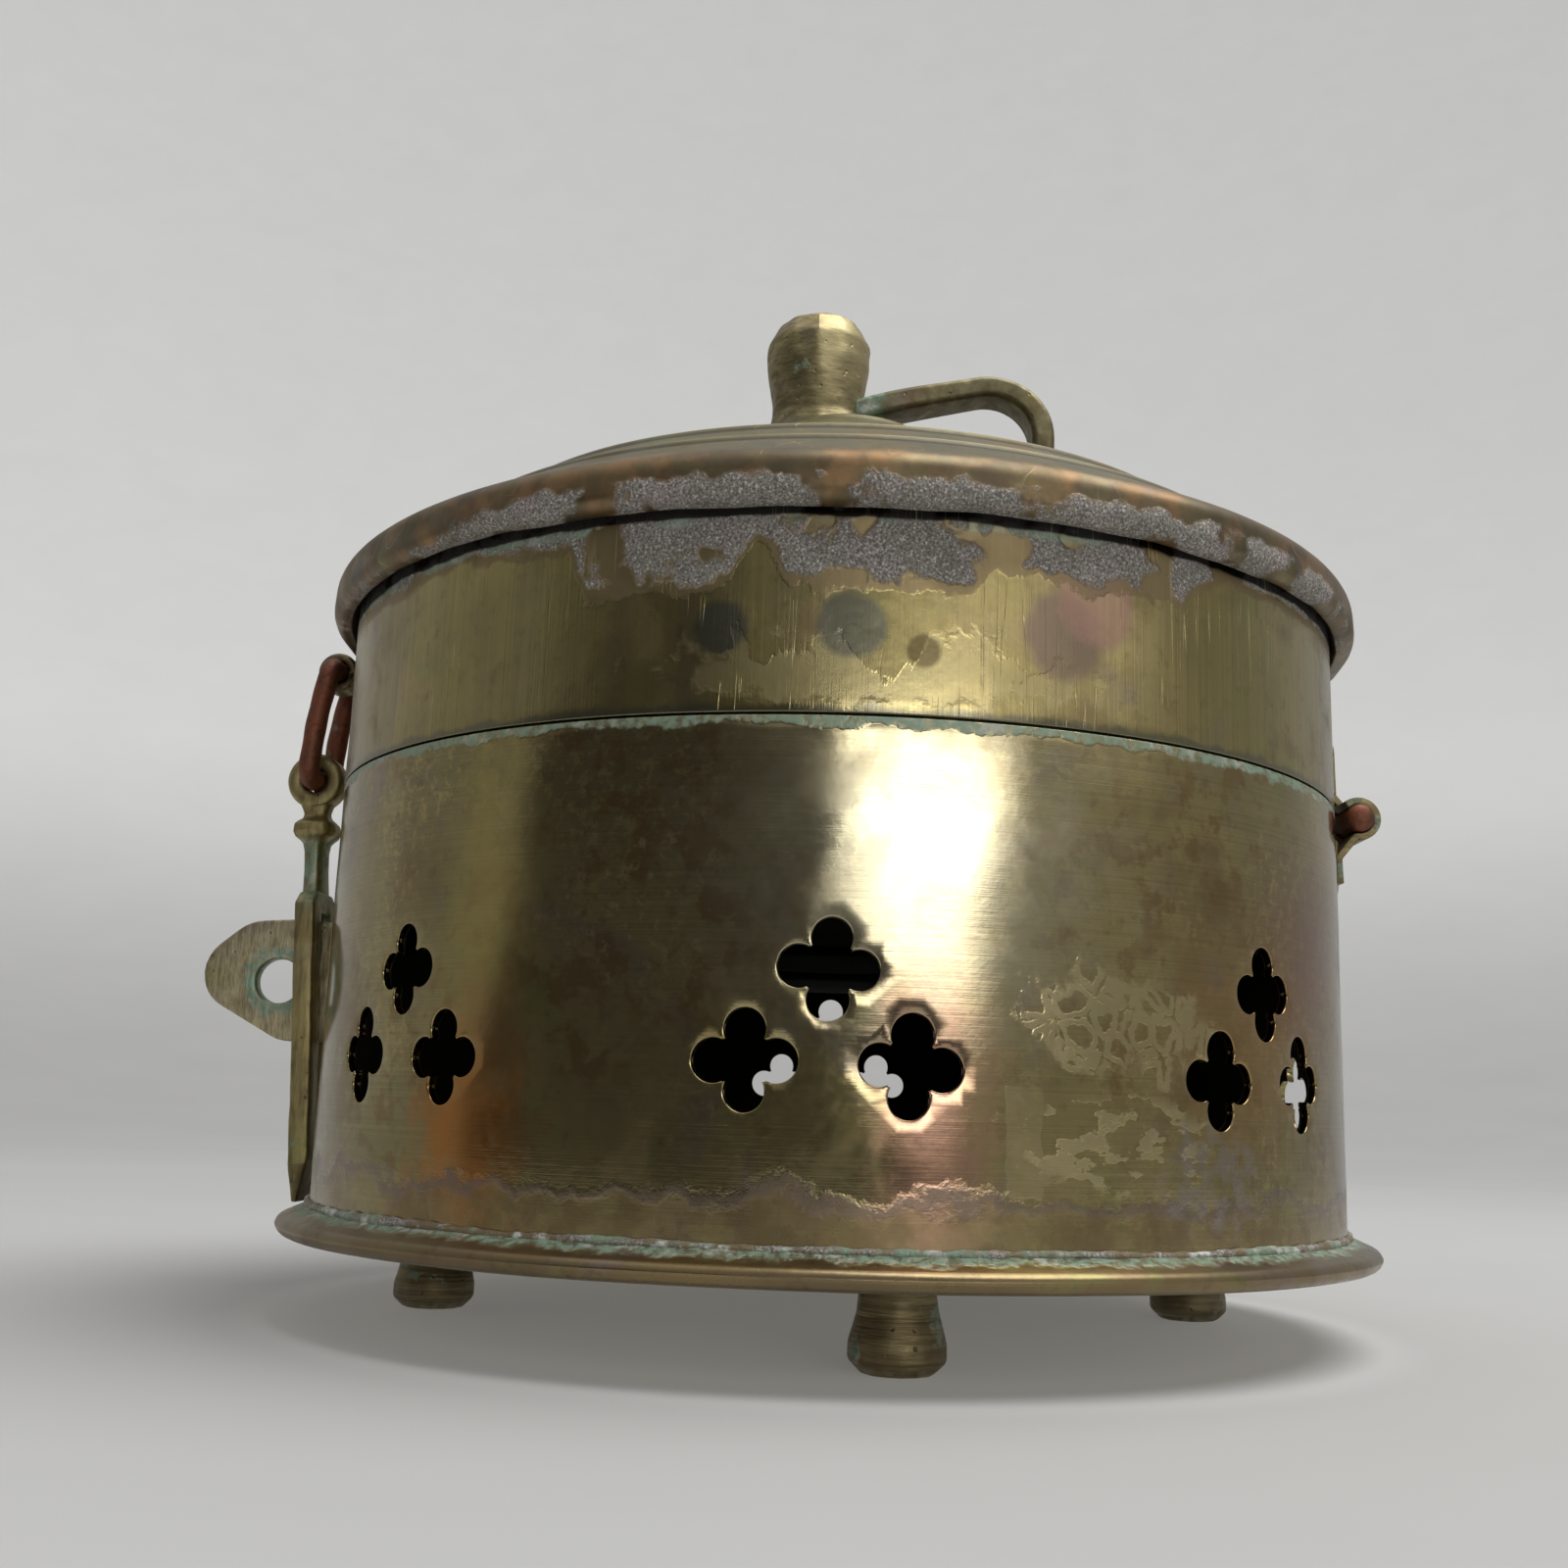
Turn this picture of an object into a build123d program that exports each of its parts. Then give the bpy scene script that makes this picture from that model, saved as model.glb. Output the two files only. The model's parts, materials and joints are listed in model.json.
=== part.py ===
from build123d import *
import math
import os

# A small footed brass box with a pierced wall, a hinged stepped lid, a hasp that
# hangs on a copper link, and a lift-out tray of seven cups.
# Millimetres. The origin is on the box's upright axis, in the plane that its feet
# stand on. +Z is up, the hasp is at the front (-Y) and the hinge at the back (+Y).

# ---- base shell -------------------------------------------------------------
WALL_RADIUS = 57.0
WALL_THICK = 1.0
BASE_HEIGHT = 47.9  # underside of the bottom plate to the lid joint
PLATE_THICK = 1.2
FLANGE_REACH = 3.6
FLANGE_HEIGHT = 3.2
FLANGE_ROUND = 1.3  # radius of the flange's lower edge
FLANGE_BROW = 2.0  # height at which the flange turns in to its slope
FLANGE_BROW_INSET = 0.5
COLLAR_THICK = 1.0
COLLAR_BELOW = 6.0
COLLAR_ABOVE = 3.5
COLLAR_GAP = 0.3  # radial room between the collar and the lid
LEDGE_THICK = 1.0
LEDGE_REACH = 1.8
LIP_CHAMFER = (0.3, 0.5)

# ---- feet -------------------------------------------------------------------
FOOT_COUNT = 4
FOOT_HEIGHT = 8.2
FOOT_RADIUS = 4.5
FOOT_NECK_RADIUS = 3.5
FOOT_PAD_RADIUS = 3.2
FOOT_INSET = 13.7
FOOT_TURN = 9.0  # degrees from +X to the first foot
TENON_RADIUS = 2.0
TENON_HEAD_RADIUS = 2.8
TENON_HEAD_HEIGHT = 0.6
FOOT_BELLY = 1.7  # height of the foot's widest place
FOOT_PAD_ROUND = (0.3, 0.6)
FOOT_TAPER = (0.25, 3.4)

# ---- pierced groups ---------------------------------------------------------
GROUP_PLACES = 8  # the front place stays solid for the lock lug
LOBE_RADIUS = 1.8
LOBE_OFFSET = 2.6
LOBE_STEP = 3.5
GROUP_HALF_WIDTH = 7.0
UPPER_HOLE_DROP = 21.8  # below the lid joint
LOWER_HOLE_DROP = 29.8

# ---- lid --------------------------------------------------------------------
JOINT_GAP = 0.2
BAND_SHOWN = 18.5  # lid joint to the underside of the rolled edge
BAND_TUCK = 3.0
EDGE_REACH = 2.8
EDGE_RISE = 6.0
EDGE_BROW = 2.2  # height of the rolled edge's widest place
EDGE_LIP = 1.8  # reach of the rolled edge's lower lip
EDGE_INNER_LIP = 0.8
EDGE_INNER_RISE = 1.6
EDGE_ROUND = (0.25, 0.75)
EDGE_SHOULDER = (2.0, 4.5)
TOP_THICK = 1.0
CREST_INSETS = (7.4, 13.1, 28.4)
CREST_RISES = (10.5, 14.05, 20.5)
CREST_STEP = 0.75
CREST_WIDTH = 0.5
CREST_DIP = 0.2
SEAT_RADIUS = 10.5
SEAT_RISE = 29.5

# ---- knob and loop handle ---------------------------------------------------
KNOB_OFFSET = 3.5  # towards the front
KNOB_HEIGHT = 17.5
KNOB_RADIUS = 6.55
KNOB_NECK_RADIUS = 5.8
KNOB_FOOT_RADIUS = 7.1
KNOB_FOOT_EDGE = 0.9
KNOB_NECK_RISE = 4.6
KNOB_BELLY_RISE = 12.0
KNOB_FLARE = (0.45, 2.3)
KNOB_WAIST = (0.4, 8.4)
KNOB_ROUND = (0.25, 13.7)
KNOB_SHOULDER = (1.5, 2.6)
KNOB_CROWN = (3.6, 0.3)
SHANK_RADIUS = 2.2
SHANK_END = 1.4
WASHER_RADIUS = 5.2
WASHER_THICK = 0.8
STRAP_THICK = 2.8
STRAP_WIDTH = 5.6
STRAP_START_RISE = 4.0
STRAP_CORNER_RISE = 9.8
STRAP_REACH = 24.6
STRAP_BEND = 6.8
STRAP_THROUGH = 1.2
STRAP_SLOPE_SHARE = 0.1  # how far up the lid's last slope the strap goes through it

# ---- hinge ------------------------------------------------------------------
HINGE_LENGTH = 17.0
HINGE_STANDOFF = 2.75  # pin axis to the wall
HINGE_RISE = 1.0
PIN_RADIUS = 1.6
PIN_PROUD = 1.3
PIN_CLEARANCE = 0.06
LEAF_THICK = 0.8
LEAF_HEIGHT = 8.0
KNUCKLE_GAP = 0.25
LID_KNUCKLE_LENGTH = 7.6
GUSSET_DEPTH = 4.6
GUSSET_TIP = (0.8, 0.6)  # shares of the knuckle's radius, outwards and up or down

# ---- lock lug ---------------------------------------------------------------
LUG_THICK = 2.0
LUG_TOP_DROP = 13.4
LUG_BOTTOM_DROP = 27.6
LUG_TIP_DROP = 20.2
LUG_REACH = 17.8
LOCK_HOLE_RADIUS = 2.6
LOCK_HOLE_REACH = 8.2
LOCK_HOLE_DROP = 20.6
LUG_TENON_HEIGHT = 7.0
LUG_TENON_PROUD = 0.7
LUG_SHOULDER_SHARE = 0.5  # of the lug's reach, where its top turns down
LUG_HEEL_SHARE = 0.45
LUG_UPPER_BULGE = (0.9, 2.3)  # share of the reach, distance from the top
LUG_LOWER_BULGE = (0.83, 3.0)

# ---- copper link, its eye on the lid, and the hasp --------------------------
WIRE_RADIUS = 1.25
WIRE_CLEARANCE = 0.08
LINK_HALF_WIDTH = 4.6
LINK_BEND = 1.7
LINK_TOP_STANDOFF = 4.0
LINK_TOP_RISE = 17.0
LINK_FOOT_STANDOFF = 5.7
LINK_FOOT_RISE = 3.5
EYE_WIDTH = 3.6
LID_EYE_RADIUS = 2.45
HASP_EYE_RADIUS = 3.4
HASP_EYE_SINK = 0.6  # how far the groove bar runs into the eye
HASP_LEAN = 3.5  # degrees towards the wall
HASP_DEPTH = 2.4
GROOVE_END = 4.4
GROOVE_DEPTH = 3.0
COLLAR_END = 7.4
HASP_COLLAR_DEPTH = 5.0
HASP_COLLAR_WIDTH = 6.4
HASP_COLLAR_FLAT = 1.0
NECK_WIDTH = 4.6
RAIL_START = 13.6
RAIL_WIDTH = 9.4
SLOT_START = 16.1
SLOT_BRIDGE = 1.6  # from the slot's lower end to where the tail is cut back
SLOT_CLEARANCE = 0.45
TAIL_LENGTH = 4.4
TAIL_RUN = 1.5  # how much longer the hasp is below the link than the base is high
TAIL_TIP = 0.4

# ---- tray and cups ----------------------------------------------------------
REST_GAP = 0.05
TRAY_GAP = 0.6
TRAY_THICK = 0.9
TRAY_RIM_HEIGHT = 2.5
TRAY_RIM_THICK = 0.8
CUPS_AROUND = 6
CUP_SPACING = 0.5
CUP_FLANGE_WIDTH = 1.2
CUP_FLANGE_THICK = 0.8
CUP_WALL = 0.8
CUP_DEPTH = 12.8
CUP_CORNER = 4.6
CUP_HOLE_GAP = 0.3

# ---- places worked out from the sizes above ---------------------------------
WALL_INNER = WALL_RADIUS - WALL_THICK
JOINT_Z = FOOT_HEIGHT + BASE_HEIGHT
EDGE_Z = JOINT_Z + BAND_SHOWN
SEAT_Z = EDGE_Z + SEAT_RISE
TAIL_END = BASE_HEIGHT + TAIL_RUN
RAIL_END = TAIL_END - TAIL_LENGTH
SLOT_END = RAIL_END - SLOT_BRIDGE
PLATE_TOP_Z = FOOT_HEIGHT + PLATE_THICK
HINGE_Y = WALL_RADIUS + HINGE_STANDOFF
HINGE_Z = JOINT_Z + HINGE_RISE
LINK_TOP = (-(WALL_RADIUS + LINK_TOP_STANDOFF), JOINT_Z + LINK_TOP_RISE)
LINK_FOOT = (-(WALL_RADIUS + LINK_FOOT_STANDOFF), JOINT_Z + LINK_FOOT_RISE)
COLLAR_INNER = WALL_INNER - COLLAR_THICK
LEDGE_TOP_Z = JOINT_Z - COLLAR_BELOW + LEDGE_THICK
TRAY_RADIUS = COLLAR_INNER - TRAY_GAP
TRAY_Z = LEDGE_TOP_Z + REST_GAP
CUP_CELL = (TRAY_RADIUS - TRAY_RIM_THICK - CUP_SPACING / 2) / 3
CUP_PITCH_RADIUS = 2 * CUP_CELL
CUP_FLANGE_RADIUS = CUP_CELL - CUP_SPACING / 2
CUP_BODY_RADIUS = CUP_FLANGE_RADIUS - CUP_FLANGE_WIDTH
CUP_Z = TRAY_Z + TRAY_THICK + REST_GAP
BORE_RADIUS = PIN_RADIUS + PIN_CLEARANCE
KNUCKLE_RADIUS = BORE_RADIUS + LEAF_THICK
UP = (Align.CENTER, Align.CENTER, Align.MIN)


def turned(profile):
    """A solid of revolution about the upright axis, from a closed (radius, height) outline."""
    return revolve(Plane.XZ * make_face(profile), Axis.Z)


def upright(radius, low, high):
    """A round bar about the upright axis between two heights."""
    return Pos(0, 0, low) * Cylinder(radius, high - low, align=UP)


def across(radius, length, y, z):
    """A round bar along X, centred on x = 0."""
    return Pos(0, y, z) * Rot(0, 90, 0) * Cylinder(radius, length)


def side_plate(outline, width):
    """A plate with a (y, z) outline, standing across the front-to-back plane."""
    face = Plane.YZ * make_face(outline)
    return extrude(face, amount=width / 2, both=True)


def lug_tenon():
    """The lug's tenon, which goes through the wall."""
    middle = JOINT_Z - (LUG_TOP_DROP + LUG_BOTTOM_DROP) / 2
    length = WALL_THICK + 2 * LUG_TENON_PROUD
    return Pos(0, -(WALL_RADIUS - WALL_THICK / 2), middle) * Box(LUG_THICK, length, LUG_TENON_HEIGHT)


def quatrefoil(azimuth, height):
    """A cutter for one four-lobed hole with square inner steps."""
    turn = math.radians(azimuth)
    out = (math.cos(turn), math.sin(turn), 0)
    side = (-math.sin(turn), math.cos(turn), 0)
    centre = (WALL_RADIUS * out[0], WALL_RADIUS * out[1], height)
    shape = Rectangle(LOBE_STEP, LOBE_STEP)
    for quarter in range(4):
        lobe = Rot(0, 0, 90 * quarter) * Pos(LOBE_OFFSET, 0) * Circle(LOBE_RADIUS)
        shape += lobe
    plane = Plane(origin=centre, x_dir=side, z_dir=out)
    return extrude(plane * shape, amount=2 * WALL_THICK, both=True)


def base_wall():
    """The pierced round wall, which stands on the bottom plate."""
    wall = upright(WALL_RADIUS, PLATE_TOP_Z, JOINT_Z) - upright(WALL_INNER, PLATE_TOP_Z, JOINT_Z)
    half_turn = math.degrees(GROUP_HALF_WIDTH / WALL_RADIUS)
    upper = JOINT_Z - UPPER_HOLE_DROP
    lower = JOINT_Z - LOWER_HOLE_DROP
    cutters = []
    for place in range(1, GROUP_PLACES):
        azimuth = -90 + place * 360 / GROUP_PLACES
        cutters.append(quatrefoil(azimuth, upper))
        cutters.append(quatrefoil(azimuth - half_turn, lower))
        cutters.append(quatrefoil(azimuth + half_turn, lower))
    return wall - cutters - lug_tenon()


def foot_spots():
    """The four feet's places on the bottom plate."""
    return PolarLocations(WALL_RADIUS - FOOT_INSET, FOOT_COUNT, FOOT_TURN)


def base_plate():
    """The bottom plate with its flared, rounded flange, bored for the feet's tenons."""
    low = FOOT_HEIGHT
    edge = WALL_RADIUS + FLANGE_REACH
    under = (edge - FLANGE_ROUND, low)
    lip = (edge, low + FLANGE_ROUND)
    brow = (edge - FLANGE_BROW_INSET, low + FLANGE_BROW)
    profile = Polyline((0, PLATE_TOP_Z), (0, low), under)
    profile += RadiusArc(under, lip, -FLANGE_ROUND)
    profile += TangentArc(lip, brow, tangent=(0, 1))
    profile += Polyline(brow, (WALL_RADIUS, low + FLANGE_HEIGHT), (WALL_RADIUS, PLATE_TOP_Z), (0, PLATE_TOP_Z))
    bores = [spot * upright(TENON_RADIUS, low, PLATE_TOP_Z) for spot in foot_spots()]
    return turned(profile) - bores


def foot():
    """One turned foot with its tenon and peened head, about the upright axis."""
    pad = (FOOT_PAD_RADIUS, 0)
    belly = (FOOT_RADIUS, FOOT_BELLY)
    neck = (FOOT_NECK_RADIUS, FOOT_HEIGHT)
    pad_round = (FOOT_RADIUS - FOOT_PAD_ROUND[0], FOOT_PAD_ROUND[1])
    taper = (FOOT_RADIUS - FOOT_TAPER[0], FOOT_TAPER[1])
    profile = Polyline((0, FOOT_HEIGHT), (0, 0), pad)
    profile += ThreePointArc(pad, pad_round, belly)
    profile += ThreePointArc(belly, taper, neck)
    profile += Line(neck, (0, FOOT_HEIGHT))
    tenon = upright(TENON_RADIUS, FOOT_HEIGHT, PLATE_TOP_Z)
    head = upright(TENON_HEAD_RADIUS, PLATE_TOP_Z, PLATE_TOP_Z + TENON_HEAD_HEIGHT)
    return turned(profile) + tenon + head


def collar_ring():
    """The inner ring: a lower part soldered in the wall, a lip inside the lid, and the tray's ledge."""
    low = JOINT_Z - COLLAR_BELOW
    high = JOINT_Z + COLLAR_ABOVE
    lip = WALL_INNER - COLLAR_GAP
    ledge = COLLAR_INNER - LEDGE_REACH
    profile = Polyline(
        (ledge, low),
        (WALL_INNER, low),
        (WALL_INNER, JOINT_Z),
        (lip, JOINT_Z),
        (lip, high - LIP_CHAMFER[1]),
        (lip - LIP_CHAMFER[0], high),
        (COLLAR_INNER, high),
        (COLLAR_INNER, LEDGE_TOP_Z),
        (ledge, LEDGE_TOP_Z),
        close=True,
    )
    return turned(profile)


def lock_lug():
    """The D-shaped lug that the hasp's slot goes over, with its padlock hole."""
    top = JOINT_Z - LUG_TOP_DROP
    bottom = JOINT_Z - LUG_BOTTOM_DROP
    tip = (-(WALL_RADIUS + LUG_REACH), JOINT_Z - LUG_TIP_DROP)
    root = -(WALL_RADIUS - 2 * WALL_THICK)
    shoulder = -(WALL_RADIUS + LUG_SHOULDER_SHARE * LUG_REACH)
    heel = -(WALL_RADIUS + LUG_HEEL_SHARE * LUG_REACH)
    upper_bulge = (-(WALL_RADIUS + LUG_UPPER_BULGE[0] * LUG_REACH), top - LUG_UPPER_BULGE[1])
    lower_bulge = (-(WALL_RADIUS + LUG_LOWER_BULGE[0] * LUG_REACH), bottom + LUG_LOWER_BULGE[1])
    outline = Polyline((heel, bottom), (root, bottom), (root, top), (shoulder, top))
    outline += ThreePointArc((shoulder, top), upper_bulge, tip)
    outline += ThreePointArc(tip, lower_bulge, (heel, bottom))
    plate = side_plate(outline, LUG_THICK) - upright(WALL_RADIUS, 0, 2 * JOINT_Z)
    hole = across(LOCK_HOLE_RADIUS, 2 * LUG_THICK, -(WALL_RADIUS + LOCK_HOLE_REACH), JOINT_Z - LOCK_HOLE_DROP)
    return plate + lug_tenon() - hole


def lid_band():
    """The lid's upright band."""
    low = JOINT_Z + JOINT_GAP
    high = EDGE_Z + BAND_TUCK
    return upright(WALL_RADIUS, low, high) - upright(WALL_INNER, low, high)


def crest_points(inset, rise):
    """One raised step of the lid: the foot of the step, its crest and the dip behind it."""
    radius = WALL_RADIUS - inset
    return [
        (radius + CREST_WIDTH, EDGE_Z + rise - CREST_STEP),
        (radius, EDGE_Z + rise),
        (radius - CREST_WIDTH, EDGE_Z + rise - CREST_DIP),
    ]


def lid_top():
    """The stepped lid top with a rolled edge that wraps the band, about the upright axis."""
    lip = (WALL_RADIUS + EDGE_LIP, EDGE_Z)
    brow = (WALL_RADIUS + EDGE_REACH, EDGE_Z + EDGE_BROW)
    lip_round = (WALL_RADIUS + EDGE_REACH - EDGE_ROUND[0], EDGE_Z + EDGE_ROUND[1])
    shoulder = (WALL_RADIUS + EDGE_SHOULDER[0], EDGE_Z + EDGE_SHOULDER[1])
    first = (WALL_RADIUS, EDGE_Z + EDGE_RISE)
    band_top = EDGE_Z + BAND_TUCK
    outside = [first, (WALL_RADIUS - CREST_WIDTH, EDGE_Z + EDGE_RISE - CREST_DIP)]
    inside = [(WALL_INNER, band_top), (WALL_INNER, EDGE_Z + EDGE_RISE - 2 * TOP_THICK)]
    for inset, rise in zip(CREST_INSETS, CREST_RISES):
        outside += crest_points(inset, rise)
        inside.append((WALL_RADIUS - inset, EDGE_Z + rise - CREST_STEP - TOP_THICK))
    outside += [(SEAT_RADIUS + CREST_WIDTH, SEAT_Z - CREST_STEP), (SEAT_RADIUS, SEAT_Z), (0, SEAT_Z)]
    inside += [(SEAT_RADIUS, SEAT_Z - TOP_THICK), (0, SEAT_Z - TOP_THICK)]
    profile = ThreePointArc(lip, lip_round, brow)
    profile += ThreePointArc(brow, shoulder, first)
    profile += Polyline(*outside)
    profile += Line((0, SEAT_Z), (0, SEAT_Z - TOP_THICK))
    profile += Polyline(*inside[::-1])
    profile += Polyline(
        (WALL_INNER, band_top),
        (WALL_RADIUS, band_top),
        (WALL_RADIUS, EDGE_Z + EDGE_INNER_RISE),
        (WALL_RADIUS + EDGE_INNER_LIP, EDGE_Z),
        lip,
    )
    shank = Pos(0, -KNOB_OFFSET, 0) * upright(SHANK_RADIUS, EDGE_Z, SEAT_Z)
    return turned(profile) - shank - loop_handle()


def knob():
    """The thimble-shaped knob with a flared foot, and its shank riveted over the washer."""
    foot_top = (KNOB_FOOT_RADIUS, KNOB_FOOT_EDGE)
    flare = (KNOB_NECK_RADIUS + KNOB_FLARE[0], KNOB_FLARE[1])
    neck = (KNOB_NECK_RADIUS, KNOB_NECK_RISE)
    waist = (KNOB_NECK_RADIUS + KNOB_WAIST[0], KNOB_WAIST[1])
    belly = (KNOB_RADIUS, KNOB_BELLY_RISE)
    rounding = (KNOB_RADIUS - KNOB_ROUND[0], KNOB_ROUND[1])
    shoulder = (KNOB_RADIUS - KNOB_SHOULDER[0], KNOB_HEIGHT - KNOB_SHOULDER[1])
    crown = (KNOB_RADIUS - KNOB_CROWN[0], KNOB_HEIGHT - KNOB_CROWN[1])
    profile = Polyline((0, 0), (KNOB_FOOT_RADIUS, 0), foot_top)
    profile += ThreePointArc(foot_top, flare, neck)
    profile += ThreePointArc(neck, waist, belly)
    profile += ThreePointArc(belly, rounding, shoulder)
    profile += Polyline(shoulder, crown, (0, KNOB_HEIGHT), (0, 0))
    below = TOP_THICK + WASHER_THICK
    shank = upright(SHANK_RADIUS, -below - SHANK_END, 0)
    return Pos(0, -KNOB_OFFSET, SEAT_Z) * (turned(profile) + shank)


def knob_washer():
    """The washer under the lid that the knob's shank is riveted over."""
    high = SEAT_Z - TOP_THICK
    ring = upright(WASHER_RADIUS, high - WASHER_THICK, high) - upright(SHANK_RADIUS, high - WASHER_THICK, high)
    return Pos(0, -KNOB_OFFSET, 0) * ring


def loop_handle():
    """The strap loop from the knob's neck to a foot that goes through the lid."""
    start = (0, 0, SEAT_Z + STRAP_START_RISE)
    corner = (0, STRAP_REACH, SEAT_Z + STRAP_CORNER_RISE)
    foot_rise = CREST_RISES[-1] + (SEAT_RISE - CREST_RISES[-1]) * STRAP_SLOPE_SHARE
    end = (0, STRAP_REACH, EDGE_Z + foot_rise - STRAP_THROUGH - TOP_THICK)
    path = FilletPolyline(start, corner, end, radius=STRAP_BEND)
    section = Plane(origin=start, x_dir=(1, 0, 0), z_dir=path % 0) * Rectangle(STRAP_WIDTH, STRAP_THICK)
    return sweep(section, path=path) - knob()


def leaf(side, knuckles):
    """One hinge leaf: a curved plate on the wall, a gusset, and the knuckles round the pin.

    side is +1 for the leaf above the pin and -1 for the leaf below it. knuckles holds the
    (from x, to x) of each knuckle.
    """
    far = HINGE_Z + side * (HINGE_RISE + LEAF_HEIGHT)
    near = HINGE_Z + side * KNUCKLE_RADIUS
    low, high = min(near, far), max(near, far)
    plate = upright(WALL_RADIUS + LEAF_THICK, low, high) - upright(WALL_RADIUS, low, high)
    front = Pos(0, HINGE_Y, (low + high) / 2) * Box(HINGE_LENGTH, WALL_RADIUS, high - low)
    shape = plate & front
    wing = HINGE_Z + side * GUSSET_DEPTH
    outline = Polyline(
        (WALL_RADIUS - 2, HINGE_Z),
        (HINGE_Y, HINGE_Z),
        (HINGE_Y + KNUCKLE_RADIUS * GUSSET_TIP[0], HINGE_Z + side * KNUCKLE_RADIUS * GUSSET_TIP[1]),
        (WALL_RADIUS + LEAF_THICK, wing),
        (WALL_RADIUS - 2, wing),
        close=True,
    )
    for start, end in knuckles:
        middle = Pos((start + end) / 2, 0, 0)
        length = end - start
        shape += middle * (across(KNUCKLE_RADIUS, length, HINGE_Y, HINGE_Z) + side_plate(outline, length))
    bore = across(BORE_RADIUS, 2 * HINGE_LENGTH, HINGE_Y, HINGE_Z)
    room = upright(WALL_RADIUS, 0, 2 * JOINT_Z)
    return shape - bore - room


def hinge_leaf_lid():
    """The lid's leaf, with one knuckle in the middle."""
    half = LID_KNUCKLE_LENGTH / 2
    shape = leaf(1, [(-half, half)])
    return shape - upright(WALL_RADIUS + 2 * LEAF_THICK, 0, JOINT_Z + JOINT_GAP)


def hinge_leaf_base():
    """The base's leaf, with a knuckle each side of the lid's."""
    inner = LID_KNUCKLE_LENGTH / 2 + KNUCKLE_GAP
    outer = HINGE_LENGTH / 2
    shape = leaf(-1, [(-outer, -inner), (inner, outer)])
    above = Pos(0, WALL_RADIUS - WALL_THICK, JOINT_Z) * Box(
        3 * HINGE_LENGTH, 2 * (WALL_THICK + KNUCKLE_GAP), LEAF_HEIGHT, align=UP
    )
    return shape - above


def hinge_pin():
    """The copper hinge pin, tight in the base's leaf and proud at both ends."""
    return across(PIN_RADIUS, HINGE_LENGTH + 2 * PIN_PROUD, HINGE_Y, HINGE_Z)


def link_eye():
    """The small eye on the lid's band that the link hangs in."""
    y, z = LINK_TOP
    reach = LINK_TOP_STANDOFF + WALL_THICK
    root = Pos(0, y + reach / 2, z - LID_EYE_RADIUS / 2) * Box(EYE_WIDTH, reach, LID_EYE_RADIUS)
    body = across(LID_EYE_RADIUS, EYE_WIDTH, y, z) + root
    bore = across(WIRE_RADIUS + WIRE_CLEARANCE, 2 * EYE_WIDTH, y, z)
    return body - bore - upright(WALL_RADIUS, 0, 2 * JOINT_Z)


def copper_link():
    """The closed wire link between the lid's eye and the hasp."""
    (top_y, top_z), (foot_y, foot_z) = LINK_TOP, LINK_FOOT
    corners = [
        (LINK_HALF_WIDTH, top_y, top_z),
        (LINK_HALF_WIDTH, foot_y, foot_z),
        (-LINK_HALF_WIDTH, foot_y, foot_z),
        (-LINK_HALF_WIDTH, top_y, top_z),
    ]
    path = FilletPolyline(*corners, radius=LINK_BEND, close=True)
    section = Plane(origin=path @ 0, z_dir=path % 0) * Circle(WIRE_RADIUS)
    return sweep(section, path=path)


def hasp_bar(start, end, width, depth):
    """A straight stretch of the hasp, given by its distances below the eye."""
    return Pos(0, 0, -(start + end) / 2) * Box(width, depth, end - start)


def hasp():
    """The hasp: eye, groove, flared collar, neck, slotted rail and wedge tail."""
    half = HASP_DEPTH / 2
    waist = GROOVE_DEPTH / 2
    middle = (GROOVE_END + COLLAR_END) / 2
    flat = HASP_COLLAR_FLAT / 2
    flare = Polyline(
        (waist, -GROOVE_END),
        (HASP_COLLAR_DEPTH / 2, -middle + flat),
        (HASP_COLLAR_DEPTH / 2, -middle - flat),
        (half, -COLLAR_END),
        (-half, -COLLAR_END),
        (-HASP_COLLAR_DEPTH / 2, -middle - flat),
        (-HASP_COLLAR_DEPTH / 2, -middle + flat),
        (-waist, -GROOVE_END),
        close=True,
    )
    tail = Polyline(
        (-half, -RAIL_END),
        (half, -RAIL_END),
        (-half + TAIL_TIP, -TAIL_END),
        (-half, -TAIL_END),
        close=True,
    )
    slot_width = LUG_THICK + 2 * SLOT_CLEARANCE
    body = across(HASP_EYE_RADIUS, EYE_WIDTH, 0, 0)
    body += hasp_bar(HASP_EYE_RADIUS - HASP_EYE_SINK, GROOVE_END, EYE_WIDTH, GROOVE_DEPTH)
    body += side_plate(flare, HASP_COLLAR_WIDTH)
    body += hasp_bar(COLLAR_END, RAIL_START, NECK_WIDTH, HASP_DEPTH)
    rail = hasp_bar(RAIL_START, RAIL_END, RAIL_WIDTH, HASP_DEPTH)
    rail = chamfer(rail.edges().filter_by(Axis.Y).group_by(Axis.Z)[-1], LINK_BEND)
    body += rail
    body += side_plate(tail, RAIL_WIDTH) & hasp_bar(RAIL_END, TAIL_END, RAIL_WIDTH, HASP_DEPTH)
    body -= hasp_bar(SLOT_START, SLOT_END, slot_width, 2 * HASP_DEPTH)
    body -= across(WIRE_RADIUS + WIRE_CLEARANCE, 2 * EYE_WIDTH, 0, 0)
    return Pos(0, *LINK_FOOT) * Rot(HASP_LEAN, 0, 0) * body


def cup_spots():
    """The cups' places: one in the middle and the others round it."""
    return [Location((0, 0, 0))] + list(PolarLocations(CUP_PITCH_RADIUS, CUPS_AROUND))


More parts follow.
